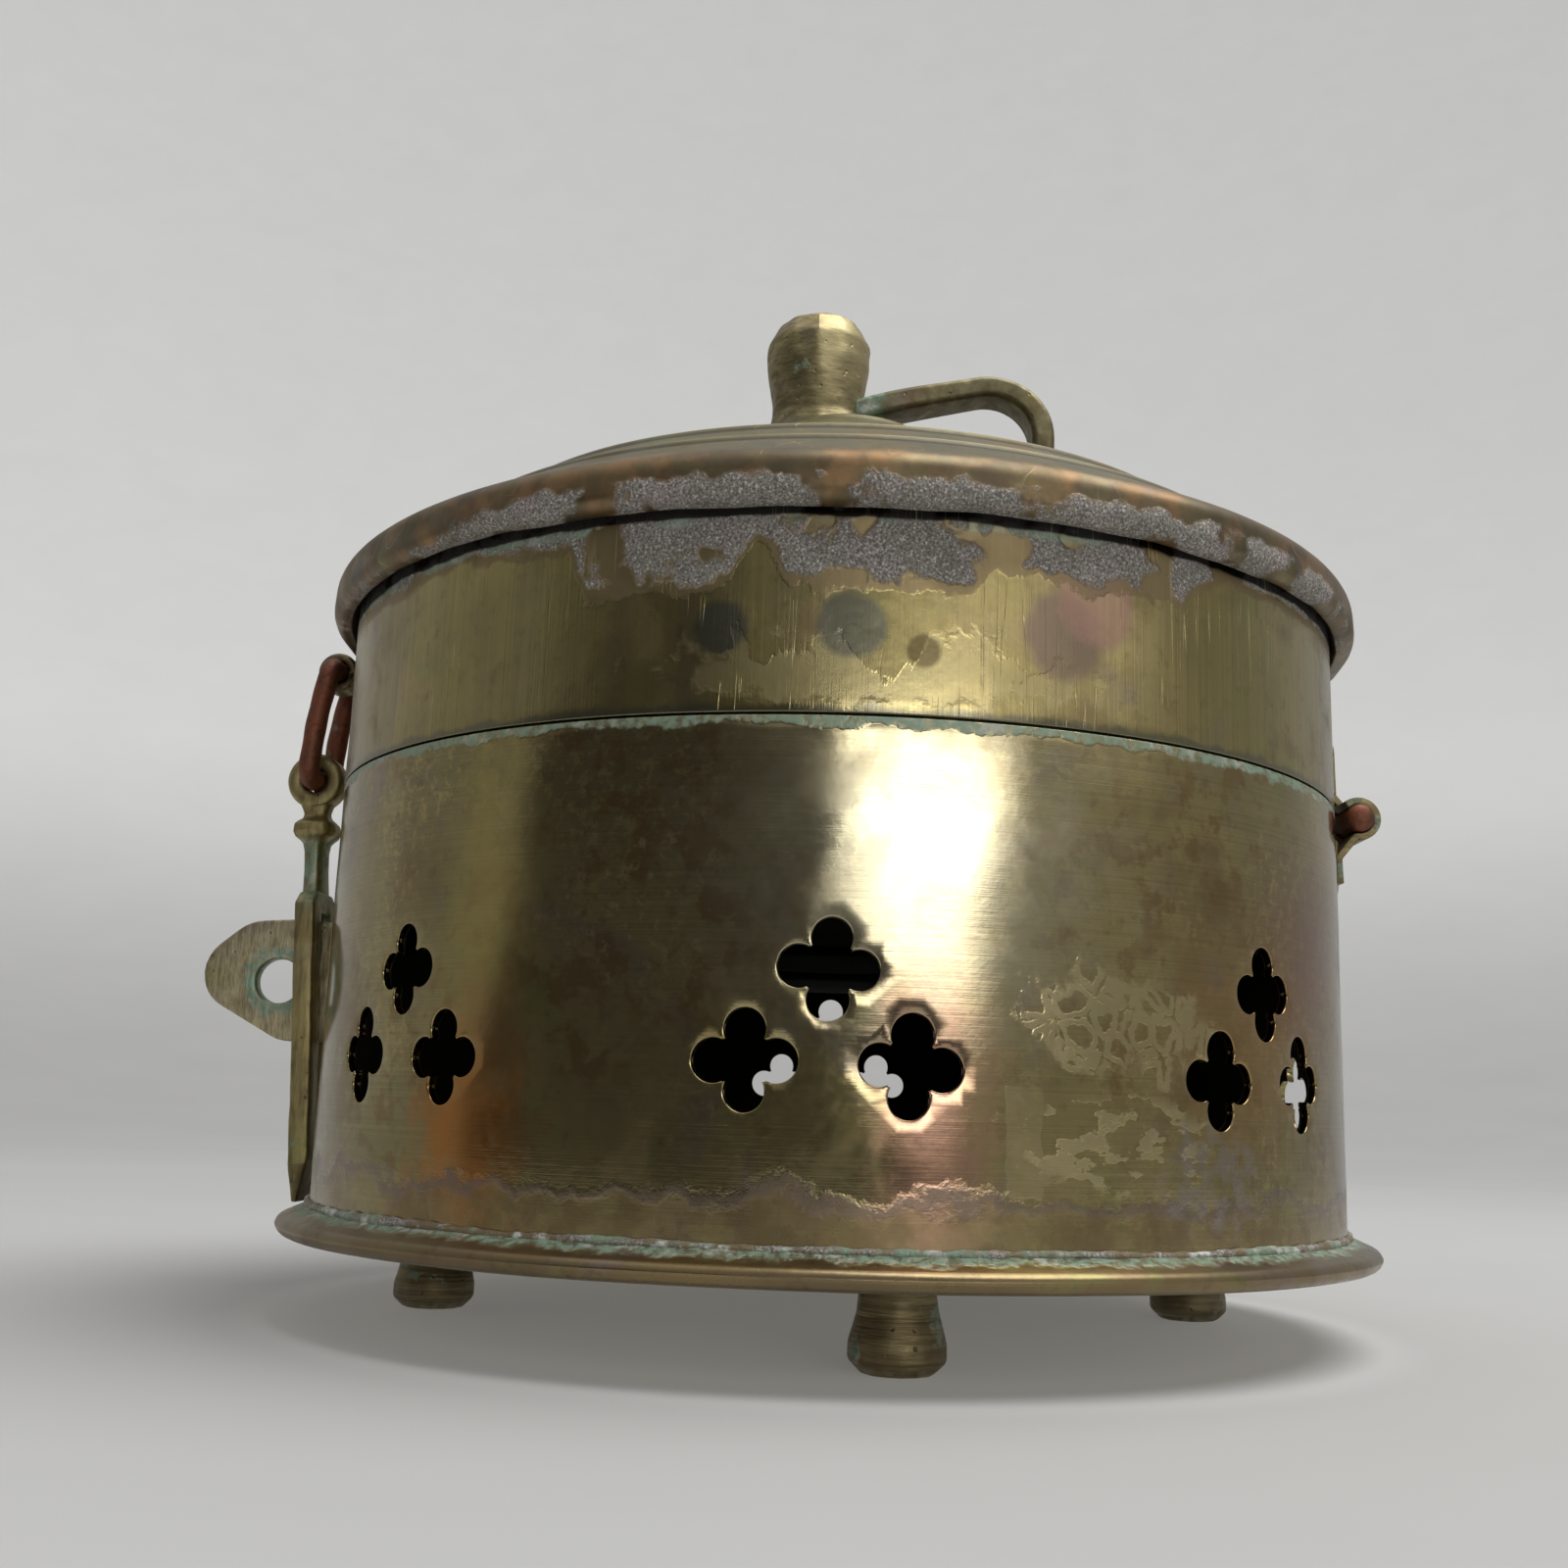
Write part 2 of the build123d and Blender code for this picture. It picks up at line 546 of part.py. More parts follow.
def cup_tray():
    """The lift-out tray, a disc with a turned-up rim and a hole for each cup."""
    low = TRAY_Z
    floor = low + TRAY_THICK
    high = floor + TRAY_RIM_HEIGHT
    hole = upright(CUP_BODY_RADIUS + CUP_HOLE_GAP, low, floor)
    tray = upright(TRAY_RADIUS, low, high) - upright(TRAY_RADIUS - TRAY_RIM_THICK, floor, high)
    return tray - [spot * hole for spot in cup_spots()]


def cup():
    """One round-bottomed cup that hangs by its flange, about the upright axis."""
    inner = CUP_BODY_RADIUS - CUP_WALL
    bottom = -CUP_DEPTH
    bend = bottom + CUP_CORNER
    diagonal = CUP_CORNER * (1 - math.sqrt(0.5))
    inner_bend = CUP_CORNER - CUP_WALL
    inner_diagonal = inner_bend * (1 - math.sqrt(0.5))
    floor = bottom + CUP_WALL
    profile = Polyline((0, floor), (0, bottom), (CUP_BODY_RADIUS - CUP_CORNER, bottom))
    profile += ThreePointArc(
        (CUP_BODY_RADIUS - CUP_CORNER, bottom),
        (CUP_BODY_RADIUS - diagonal, bottom + diagonal),
        (CUP_BODY_RADIUS, bend),
    )
    profile += Polyline(
        (CUP_BODY_RADIUS, bend),
        (CUP_BODY_RADIUS, 0),
        (CUP_FLANGE_RADIUS, 0),
        (CUP_FLANGE_RADIUS, CUP_FLANGE_THICK),
        (inner, CUP_FLANGE_THICK),
        (inner, bend),
    )
    profile += ThreePointArc(
        (inner, bend),
        (inner - inner_diagonal, floor + inner_diagonal),
        (inner - inner_bend, floor),
    )
    profile += Line((inner - inner_bend, floor), (0, floor))
    return Pos(0, 0, CUP_Z) * turned(profile)


def all_nodes():
    """Every sub-part by name, in its place."""
    nodes = {
        "base_wall": base_wall(),
        "base_plate": base_plate(),
        "collar_ring": collar_ring(),
        "lock_lug": lock_lug(),
        "hinge_leaf_base": hinge_leaf_base(),
        "hinge_pin": hinge_pin(),
        "lid_band": lid_band(),
        "lid_top": lid_top(),
        "hinge_leaf_lid": hinge_leaf_lid(),
        "knob": knob(),
        "knob_washer": knob_washer(),
        "loop_handle": loop_handle(),
        "link_eye": link_eye(),
        "copper_link": copper_link(),
        "hasp": hasp(),
        "cup_tray": cup_tray(),
    }
    for number, spot in enumerate(foot_spots(), 1):
        nodes[f"foot_{number}"] = spot * foot()
    for number, spot in enumerate(cup_spots(), 1):
        nodes[f"cup_{number}"] = spot * cup()
    return nodes


os.makedirs("parts", exist_ok=True)
for name, shape in all_nodes().items():
    export_step(shape, f"parts/{name}.step")
    print(f"{name}: {shape.volume:.1f} mm3, {len(shape.solids())} solid")
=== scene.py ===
"""A footed brass spice box: pierced wall, stepped hinged lid, hasp on a wire link, tray of cups.

Shapes are worked out in millimetres from the frame's boxes and joints, and become metres
when their mesh is made.
"""

import json
import math

import bmesh
import bpy
import numpy as np
from mathutils import Matrix, Vector
from mathutils.geometry import delaunay_2d_cdt


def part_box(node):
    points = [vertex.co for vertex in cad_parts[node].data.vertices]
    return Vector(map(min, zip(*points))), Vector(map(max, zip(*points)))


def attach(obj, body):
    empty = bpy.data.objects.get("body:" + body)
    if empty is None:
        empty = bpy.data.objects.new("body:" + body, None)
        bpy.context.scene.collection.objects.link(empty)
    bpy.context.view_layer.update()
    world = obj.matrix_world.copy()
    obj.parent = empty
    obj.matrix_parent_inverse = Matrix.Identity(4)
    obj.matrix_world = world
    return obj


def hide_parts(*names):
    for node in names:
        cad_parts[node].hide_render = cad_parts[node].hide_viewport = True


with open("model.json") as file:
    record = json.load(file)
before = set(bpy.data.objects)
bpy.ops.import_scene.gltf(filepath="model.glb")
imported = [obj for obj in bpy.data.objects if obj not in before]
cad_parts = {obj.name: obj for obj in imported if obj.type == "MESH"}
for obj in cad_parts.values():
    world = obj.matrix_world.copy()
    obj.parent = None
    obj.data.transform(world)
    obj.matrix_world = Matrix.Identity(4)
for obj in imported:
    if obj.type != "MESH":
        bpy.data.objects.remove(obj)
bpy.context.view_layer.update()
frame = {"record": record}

MM = 0.001
TURN = 2 * math.pi


# ---- places read from the frame ---------------------------------------------
def corners(node):
    """A CAD node's lowest and highest corner, in millimetres."""
    low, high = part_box(node)
    return np.array(low) / MM, np.array(high) / MM


def pivot(joint):
    """The (y, z) of a hinge joint, in millimetres."""
    joints = frame["record"]["behaviour"]["joints"]
    place = next(j for j in joints if j["name"] == joint)["pos_m"]
    return np.array(place[1:]) / MM


wall_low, wall_high = corners("base_wall")
RADIUS = max(wall_high[0], wall_high[1])
WALL = 1.0
JOINT = wall_high[2]
plate_low, plate_high = corners("base_plate")
FLANGE = max(plate_high[0], plate_high[1])
band_low, band_high = corners("lid_band")
top_low, top_high = corners("lid_top")
EDGE = top_low[2]
EDGE_RADIUS = max(top_high[0], top_high[1])
SEAT = top_high[2]
knob_low, knob_high = corners("knob")
KNOB_Y = (knob_low[1] + knob_high[1]) / 2
STEP_INSETS = (7.4, 13.1, 28.4)
HINGE = pivot("lid_hinge")
LINK_TOP = pivot("link_swing")
LINK_FOOT = pivot("hasp_swing")
PLATE = 1.2
LUG_HOLE_OUT, LUG_HOLE_DROP = 8.2, 20.6
UPPER_HOLE_DROP, LOWER_HOLE_DROP = 21.8, 29.8
WIRE, WIRE_HOLE = 1.25, 1.36
EYE_WIDE = 3.6
CUP_HOLE = 16.7
CUP_SHEET = 0.8


# ---- numbers on grids -------------------------------------------------------
def ripple(around, along, seed, waves=5, reach=9.0):
    """A smooth unevenness between about -1 and 1: a sum of sines with whole numbers of waves round
    the turn, each at its own slope along the height, so that it closes on itself."""
    draw = np.random.default_rng(seed)
    total = 0.0
    for wave in range(waves):
        count = draw.integers(1, 3 + 3 * wave)
        slope = draw.uniform(-1, 1) / reach
        phase = draw.uniform(0, TURN)
        total = total + np.sin(count * around + slope * along * (1 + wave) + phase) / (1 + 0.5 * wave)
    return total / 2.4


def rounded(points, radii, closed=True, steps=5):
    """An outline through corner points, with each corner turned into an arc of its radius."""
    points = np.array(points, float)
    radii = np.broadcast_to(radii, len(points))
    ends = set() if closed else {0, len(points) - 1}
    pieces = []
    for k, point in enumerate(points):
        if k in ends or radii[k] <= 0:
            pieces.append(point[None])
            continue
        back = points[k - 1] - point
        ahead = points[(k + 1) % len(points)] - point
        back, ahead = back / np.linalg.norm(back), ahead / np.linalg.norm(ahead)
        half = math.acos(np.clip(back @ ahead, -1, 1)) / 2
        bisector = (back + ahead) / np.linalg.norm(back + ahead)
        centre = point + bisector * radii[k] / math.sin(half)
        first = point + back * radii[k] / math.tan(half) - centre
        last = point + ahead * radii[k] / math.tan(half) - centre
        start = math.atan2(first[1], first[0])
        sweep = (math.atan2(last[1], last[0]) - start + math.pi) % TURN - math.pi
        angle = start + sweep * np.linspace(0, 1, steps + 1)
        pieces.append(centre + radii[k] * np.stack([np.cos(angle), np.sin(angle)], 1))
    return np.concatenate(pieces)


def divided(outline, spacing, closed=True):
    """The outline with even points added wherever two neighbours are further apart than spacing."""
    ring = np.concatenate([outline, outline[:1]]) if closed else outline
    gaps = np.linalg.norm(np.diff(ring, axis=0), axis=1)
    counts = np.maximum(np.ceil(gaps / spacing).astype(int), 1)
    steps = [np.linspace(a, b, n, endpoint=False) for a, b, n in zip(ring[:-1], ring[1:], counts)]
    out = np.concatenate(steps)
    return out if closed else np.concatenate([out, outline[-1:]])


def quads(rows, columns, wrap_rows, wrap_columns):
    """The faces of a grid of points, row after row, closed on itself where it wraps."""
    i = np.arange(rows if wrap_rows else rows - 1)[:, None]
    j = np.arange(columns if wrap_columns else columns - 1)[None]
    i2, j2 = (i + 1) % rows, (j + 1) % columns
    corner = [i * columns + j, i2 * columns + j, i2 * columns + j2, i * columns + j2]
    return np.stack([c.ravel() for c in np.broadcast_arrays(*corner)], 1)


# ---- meshes -----------------------------------------------------------------
def mesh_object(name, points, faces, crease=40.0):
    """An object from points in millimetres; doubled points are merged and normals point out."""
    mesh = bpy.data.meshes.new(name)
    mesh.from_pydata((np.asarray(points) * MM).tolist(), [], [list(map(int, f)) for f in faces])
    work = bmesh.new()
    work.from_mesh(mesh)
    bmesh.ops.remove_doubles(work, verts=work.verts, dist=2e-6)
    bmesh.ops.dissolve_degenerate(work, edges=work.edges, dist=1e-7)
    bmesh.ops.recalc_face_normals(work, faces=work.faces)
    work.to_mesh(mesh)
    work.free()
    mesh.shade_smooth()
    mesh.set_sharp_from_angle(angle=math.radians(crease))
    piece = bpy.data.objects.new(name, mesh)
    bpy.context.scene.collection.objects.link(piece)
    return piece


def lathe(name, outline, segments=180, closed=True, bend=None, crease=40.0, centre=(0, 0)):
    """A turned piece: an outline of (radius, height) carried round the upright axis. bend gives
    what is added to the radius and the height at each (angle, radius, height)."""
    angle = np.linspace(0, TURN, segments, endpoint=False)[:, None]
    radius = np.broadcast_to(outline[:, 0], (segments, len(outline)))
    height = np.broadcast_to(outline[:, 1], radius.shape)
    if bend:
        out, up = bend(angle, radius, height)
        hub = np.clip(radius, 0, 1)
        radius, height = radius + out * hub, height + up * hub
    x, y = centre[0] + radius * np.cos(angle), centre[1] + radius * np.sin(angle)
    points = np.stack([x, y, height], 2)
    faces = quads(segments, len(outline), True, closed)
    return mesh_object(name, points.reshape(-1, 3), faces, crease)


def rod(name, path, section, side, closed=False, scale=None, crease=40.0):
    """A section carried along a path: side is the section's first direction, and its second lies
    square to side and to the path. scale shrinks or swells the section along the way."""
    ahead = np.roll(path, -1, 0) - np.roll(path, 1, 0) if closed else np.gradient(path, axis=0)
    ahead /= np.linalg.norm(ahead, axis=1, keepdims=True)
    side = np.broadcast_to(np.asarray(side, float), path.shape)
    second = np.cross(ahead, side)
    scale = np.ones(len(path)) if scale is None else scale
    across = section[None, :, 0, None] * side[:, None] + section[None, :, 1, None] * second[:, None]
    points = path[:, None] + across * scale[:, None, None]
    faces = quads(len(path), len(section), closed, True).tolist()
    if not closed:
        count = len(section)
        last = (len(path) - 1) * count
        faces.append(list(range(count))[::-1])
        faces.append(list(range(last, last + count)))
    return mesh_object(name, points.reshape(-1, 3), faces, crease)


def round_ends(count, length, end):
    """Places from 0 to length along a bar and the scale that rounds both its ends off."""
    lead = end * (1 - np.cos(np.linspace(0, math.pi / 2, 8)))
    places = np.concatenate([lead, np.linspace(end, length - end, count)[1:-1], length - lead[::-1]])
    depth = np.clip(1 - np.minimum(places, length - places) / end, 0, 1)
    return places, np.sqrt(np.clip(1 - depth**2, 0.0004, 1))


def outward(loop):
    """The unit normals that point out of a counter-clockwise loop."""
    along = np.roll(loop, -1, 0) - np.roll(loop, 1, 0)
    normal = np.stack([along[:, 1], -along[:, 0]], 1)
    return normal / np.linalg.norm(normal, axis=1, keepdims=True)


def counter(loop):
    """The loop, turned counter-clockwise."""
    x, y = loop.T
    twice_area = np.sum(x * np.roll(y, -1) - np.roll(x, -1) * y)
    return loop if twice_area > 0 else loop[::-1]


def inside(points, loop):
    """Which points lie inside a loop, by counting the edges to their right."""
    a, b = loop, np.roll(loop, -1, 0)
    px, py = points[:, 0, None], points[:, 1, None]
    rise = b[:, 1] - a[:, 1]
    rise = np.where(rise == 0, 1e-12, rise)
    crossing = a[:, 0] + (py - a[:, 1]) * (b[:, 0] - a[:, 0]) / rise
    return (((a[:, 1] > py) != (b[:, 1] > py)) & (px < crossing)).sum(1) % 2 == 1


def skin(outer, holes, spacing=None):
    """Triangles that fill a loop around its holes, with a grid of inner points at the spacing."""
    loops = [outer, *holes]
    rim = np.concatenate(loops)
    starts = np.cumsum([0] + [len(loop) for loop in loops])
    edges = []
    for start, loop in zip(starts, loops):
        step = np.arange(len(loop))
        edges += np.stack([start + step, start + (step + 1) % len(loop)], 1).tolist()
    points = rim
    if spacing:
        low, high = outer.min(0), outer.max(0)
        counts = np.ceil((high - low) / spacing).astype(int)
        axes = [np.linspace(low[k], high[k], counts[k] + 1)[1:-1] for k in (0, 1)]
        fill = np.stack(np.meshgrid(*axes, indexing="ij"), 2).reshape(-1, 2)
        keep = inside(fill, outer)
        for loop in holes:
            keep &= ~inside(fill, loop)
            near = np.abs(fill - loop.mean(0)).max(1) < np.ptp(loop, axis=0).max()
            spots = np.where(near)[0]
            gap = np.linalg.norm(fill[spots, None] - loop[None], axis=2).min(1)
            keep[spots[gap < 0.5 * spacing]] = False
        points = np.concatenate([rim, fill[keep]])
    flat, _, triangles, *_ = delaunay_2d_cdt([Vector(p) for p in points], edges, [], 0, 1e-7)
    flat = np.array([tuple(p) for p in flat])
    triangles = np.array(triangles)
    middle = flat[triangles].mean(1)
    keep = inside(middle, outer)
    for loop in holes:
        keep &= ~inside(middle, loop)
    return flat, triangles[keep]


def rim_steps(thick, edge):
    """The (inset, depth) of the rings round a slab's rim, with both its edges rounded."""
    turn = np.linspace(0, math.pi / 2, 4)
    front = np.stack([edge * (1 - np.sin(turn)), edge * (1 - np.cos(turn))], 1)
    back = front[::-1] * (1, -1) + (0, thick)
    return np.concatenate([front, back])


def rim_of(loop, steps, sign=1):
    """The rings round a loop's rim at the steps' insets and depths, and the faces between them."""
    ring = loop[None] + sign * outward(loop)[None] * steps[:, 0, None, None]
    depth = np.broadcast_to(steps[:, 1, None, None], (*ring.shape[:2], 1))
    return np.concatenate([ring, depth], 2).reshape(-1, 3), quads(len(steps), len(loop), False, True)


def slab(name, outer, holes, thick, edge, place, spacing=None, hole_edge=None):
    """A plate with rounded edges: a filled outline with holes, given a thickness. place turns
    (across, up, depth) into millimetres in the frame."""
    outer = counter(np.asarray(outer))
    holes = [counter(np.asarray(hole)) for hole in holes]
    hole_edge = edge if hole_edge is None else hole_edge
    inner_edges = [hole + outward(hole) * hole_edge for hole in holes]
    flat, triangles = skin(outer - outward(outer) * edge, inner_edges, spacing)
    count = len(flat)
    points = [np.c_[flat, np.zeros(count)], np.c_[flat, np.full(count, thick)]]
    faces = triangles.tolist() + (triangles[:, ::-1] + count).tolist()
    total = 2 * count
    for loop, sign, size in [(outer, -1, edge)] + [(hole, 1, hole_edge) for hole in holes]:
        rim, sides = rim_of(loop, rim_steps(thick, size), sign)
        points.append(rim)
        faces += (sides + total).tolist()
        total += len(rim)
    return mesh_object(name, place(np.concatenate(points)), faces)


def circle(radius, count=48, centre=(0, 0)):
    """A counter-clockwise round loop."""
    angle = np.linspace(0, TURN, count, endpoint=False)
    return np.stack([centre[0] + radius * np.cos(angle), centre[1] + radius * np.sin(angle)], 1)


def box_section(width, depth, radius):
    """A rounded rectangle, centred on nought."""
    w, d = width / 2, depth / 2
    return rounded([(-w, -d), (w, -d), (w, d), (-w, d)], radius)


def joined(name, pieces):
    """One object from several, which are removed."""
    points, faces, total = [], [], 0
    for piece in pieces:
        mesh = piece.data
        co = np.empty(len(mesh.vertices) * 3)
        mesh.vertices.foreach_get("co", co)
        points.append(co.reshape(-1, 3) / MM)
        faces += [[v + total for v in face.vertices] for face in mesh.polygons]
        total += len(mesh.vertices)
        bpy.data.objects.remove(piece)
    return mesh_object(name, np.concatenate(points), faces)


# ---- the base ---------------------------------------------------------------
def quatrefoil(across, up, seed):
    """A four-lobed hole: at each angle, the furthest of four round lobes and a small square."""
    lobe, offset, half = 1.8, 2.6, 1.75
    draw = np.random.default_rng(seed)
    angle = np.linspace(0, TURN, 112, endpoint=False)
    reach = half / np.maximum(np.abs(np.cos(angle)), np.abs(np.sin(angle)))
    for quarter in range(4):
        turned = angle - quarter * TURN / 4
        inner = lobe**2 - (offset * np.sin(turned)) ** 2
        hit = (inner > 0) & (np.cos(turned) > 0)
        stretch = 1 + draw.uniform(-0.04, 0.04)
        edge = offset * np.cos(turned) + np.sqrt(np.where(hit, inner, 0))
        reach = np.where(hit, np.maximum(reach, edge * stretch), reach)
    tilt = draw.uniform(-0.06, 0.06)
    across += draw.uniform(-0.25, 0.25)
    up += draw.uniform(-0.2, 0.2)
    return np.stack([across + reach * np.cos(angle + tilt), up + reach * np.sin(angle + tilt)], 1)


def wall_dent(angle, height):
    """The wall's hand-made unevenness, in millimetres of radius, which fades at its edges."""
    fade = np.clip((height - wall_low[2]) / 6, 0, 1) * np.clip((JOINT - height) / 6, 0, 1)
    return 0.14 * ripple(angle, height, 5, waves=6, reach=14.0) * fade - 0.04


def base_wall():
    """The pierced wall: a flat sheet with its groups of holes, wrapped round the axis so that its
    two ends meet at the front, where there is no group."""
    edge, spacing = 0.14, 1.15
    half = math.pi * RADIUS
    low, high = wall_low[2], JOINT
    groups, half_group = 8, 7.0
    places = [(0, UPPER_HOLE_DROP), (-half_group, LOWER_HOLE_DROP), (half_group, LOWER_HOLE_DROP)]
    holes = []
    for place in range(1, groups):
        middle = (2 * place / groups - 1) * half
        for shift, drop in places:
            holes.append(counter(quatrefoil(middle + shift, JOINT - drop, len(holes))))
    count_up = int((high - low) / spacing)
    count_round = int(2 * half / spacing)
    up = np.linspace(low + edge, high - edge, count_up + 1)
    round_ = np.linspace(-half, half, count_round + 1)
    border = np.concatenate([
        np.c_[round_[:-1], np.full(count_round, low + edge)],
        np.c_[np.full(count_up, half), up[:-1]],
        np.c_[round_[:0:-1], np.full(count_round, high - edge)],
        np.c_[np.full(count_up, -half), up[:0:-1]],
    ])
    flat, triangles = skin(border, [hole + outward(hole) * edge for hole in holes], spacing)
    count = len(flat)
    points = [np.c_[flat, np.zeros(count)], np.c_[flat, np.full(count, WALL)]]
    faces = triangles.tolist() + (triangles[:, ::-1] + count).tolist()
    total = 2 * count
    steps = rim_steps(WALL, edge)
    for hole in holes:
        rim, sides = rim_of(hole, steps)
        points.append(rim)
        faces += (sides + total).tolist()
        total += len(rim)
    for level, sign in ((low, 1), (high, -1)):
        inset, depth = level + sign * steps[:, 0, None], steps[:, 1, None]
        grid = np.stack(np.broadcast_arrays(round_[None], inset, depth), 2).reshape(-1, 3)
        points.append(grid)
        faces += (quads(len(steps), len(round_), False, False) + total).tolist()
        total += len(grid)
    sheet = np.concatenate(points)
    angle, height = sheet[:, 0] / RADIUS + math.pi / 2, sheet[:, 1]
    radius = RADIUS - sheet[:, 2] + wall_dent(angle, height)
    points = np.c_[radius * np.cos(angle), radius * np.sin(angle), height]
    return mesh_object("pierced_wall", points, faces, 50)


def base_plate():
    """The bottom plate with its flared flange: a disc whose rim slopes down and rounds under."""
    low, reach = plate_low[2], FLANGE
    outline = rounded(
        [
            (0, low + PLATE),
            (0, low),
            (RADIUS - 6, low),
            (reach - 0.1, low + 0.1),
            (reach, low + 1.7),
            (RADIUS, plate_high[2]),
            (RADIUS - 0.6, low + PLATE),
        ][::-1],
        [0.2, 0.5, 1.0, 1.2, 3.0, 0, 0],
    )
    outline = divided(np.roll(outline, 1, 0), 1.5, closed=False)

    def bend(angle, radius, height):
        rim = np.clip((radius - RADIUS + 2) / 4, 0, 1)
        out = (0.16 * ripple(angle, height, 11, waves=7) - 0.2) * rim
        return out, 0.10 * ripple(angle, radius, 12, waves=6) * rim - 0.05 * rim

    return lathe("bottom_plate", outline, 240, bend=bend)


def flange_solder():
    """The thick and thin solder fillet in the corner between the wall and the flange: a small
    round section whose size and place wander as it goes round."""
    angle = np.linspace(0, TURN, 720, endpoint=False)[:, None]
    turn = np.linspace(0, TURN, 10, endpoint=False)[None]
    size = 0.55 + 0.22 * ripple(angle, turn * 0, 21, waves=9)
    size = size + 0.10 * np.sin(97 * angle) * np.sin(41 * angle)
    size = size + 0.10 * ripple(9 * angle, turn * 3, 22, waves=6)
    rise = plate_high[2] - 0.15 + 0.12 * ripple(3 * angle, 0, 23)
    radius = RADIUS + 0.05 + size * np.cos(turn)
    height = rise + size * np.sin(turn) * 0.9
    points = np.stack([radius * np.cos(angle), radius * np.sin(angle), height], 2)
    return mesh_object("flange_solder", points.reshape(-1, 3), quads(720, 10, True, True), 60)


def collar_ring():
    """The inner ring with its lip and its ledge, as one rounded section."""
    low, high = corners("collar_ring")
    outer = RADIUS - WALL
    inner = outer - 1.0
    outline = rounded(
        [
            (inner - 1.8, low[2]),
            (outer, low[2]),
            (outer, JOINT),
            (outer - 0.3, JOINT + 0.05),
            (outer - 0.3, high[2] - 0.5),
            (outer - 0.6, high[2]),
            (inner, high[2]),
            (inner, low[2] + 1.0),
            (inner - 1.8, low[2] + 1.0),
        ],
        [0.2, 0, 0, 0, 0.2, 0.2, 0.2, 0.3, 0.2],
    )
    return lathe("collar", outline, 180)


def foot(number):
    """A turned foot with a rounded pad, a full belly and a slim neck, nicked by handling."""
    low, high = corners(f"foot_{number}")
    centre = (low[:2] + high[:2]) / 2
    seat = plate_low[2]
    outline = rounded(
        [
            (0, 0),
            (3.3, 0),
            (4.45, 1.1),
            (4.42, 2.6),
            (3.75, 5.2),
            (3.45, seat + 0.1),
            (2.0, seat + 0.1),
            (2.0, seat + 1.1),
            (2.8, seat + 1.15),
            (2.8, high[2]),
            (0, high[2]),
        ],
        [0, 0.9, 0.9, 2.2, 4.0, 0, 0, 0, 0.2, 0.4, 0],
        closed=False,
    )

    def bend(angle, radius, height):
        nick = 0.10 * ripple(angle, height, 30 + number, waves=6, reach=3.0)
        flat = 0.10 * np.cos(7 * angle + number) * np.clip(1 - height / 3, 0, 1)
        return nick - np.abs(flat) - 0.05, 0 * nick

    outline = divided(outline, 0.5, closed=False)
    return lathe(f"turned_foot_{number}", outline, 64, closed=False, bend=bend, centre=centre)


def front_place(points):
    """Turns (out from the axis, height, depth across) into a place in the front-to-back plane."""
    return np.c_[points[:, 2], -points[:, 0], points[:, 1]]


def lock_lug():
    """The flat D-shaped lug with its countersunk padlock hole, and the solder at its root."""
    low, high = corners("lock_lug")
    tip = -low[1]
    top, bottom = high[2], low[2]
    tall = top - bottom
    outline = rounded(
        [
            (RADIUS - 0.6, bottom),
            (RADIUS + 7.6, bottom),
            (tip - 1.2, bottom + 0.34 * tall),
            (tip - 0.2, bottom + 0.66 * tall),
            (tip - 5.6, top - 0.4),
            (RADIUS + 6.0, top),
            (RADIUS - 0.6, top - 0.5),
        ],
        [0.4, 5.0, 4.2, 4.4, 5.2, 8.0, 0.4],
    )
    hole = circle(2.6, 40, (RADIUS + LUG_HOLE_OUT, JOINT - LUG_HOLE_DROP))

    def place(points):
        worn = 0.12 * ripple(points[:, 1] * 0.4, points[:, 0], 41)
        side = points[:, 2] - 1.0
        return front_place(np.c_[points[:, 0], points[:, 1], side + worn * 0.5])

    lug = slab("lug_blade", divided(outline, 0.6), [hole], 2.0, 0.35, place, spacing=0.9, hole_edge=0.5)
    rise = np.linspace(bottom + 0.4, top - 0.4, 30)
    path = np.stack([np.zeros(30), np.full(30, -RADIUS - 0.15), rise], 1)
    size = 1 + 0.16 * np.sin(np.arange(30) * 1.9)
    size[[0, -1]] = 0.3
    seam = rod("lug_seam", path, circle(1, 14) * (1.9, 0.6), (1, 0, 0), scale=size, crease=60)
    return joined("lock_lug_blade", [lug, seam])


# ---- the hinge --------------------------------------------------------------
def wall_place(points):
    """Turns (along the wall, height, depth in from the leaf's face) into a place at the back."""
    angle = math.pi / 2 - points[:, 0] / RADIUS
    radius = RADIUS + 0.85 - points[:, 2]
    return np.c_[radius * np.cos(angle), radius * np.sin(angle), points[:, 1]]


def ribbon(path, thick):
    """The closed outline of a bent sheet: its centre line moved half its thickness each way."""
    along = np.gradient(path, axis=0)
    normal = np.stack([along[:, 1], -along[:, 0]], 1)
    normal /= np.linalg.norm(normal, axis=1, keepdims=True)
    return np.concatenate([path + normal * thick / 2, (path - normal * thick / 2)[::-1]])


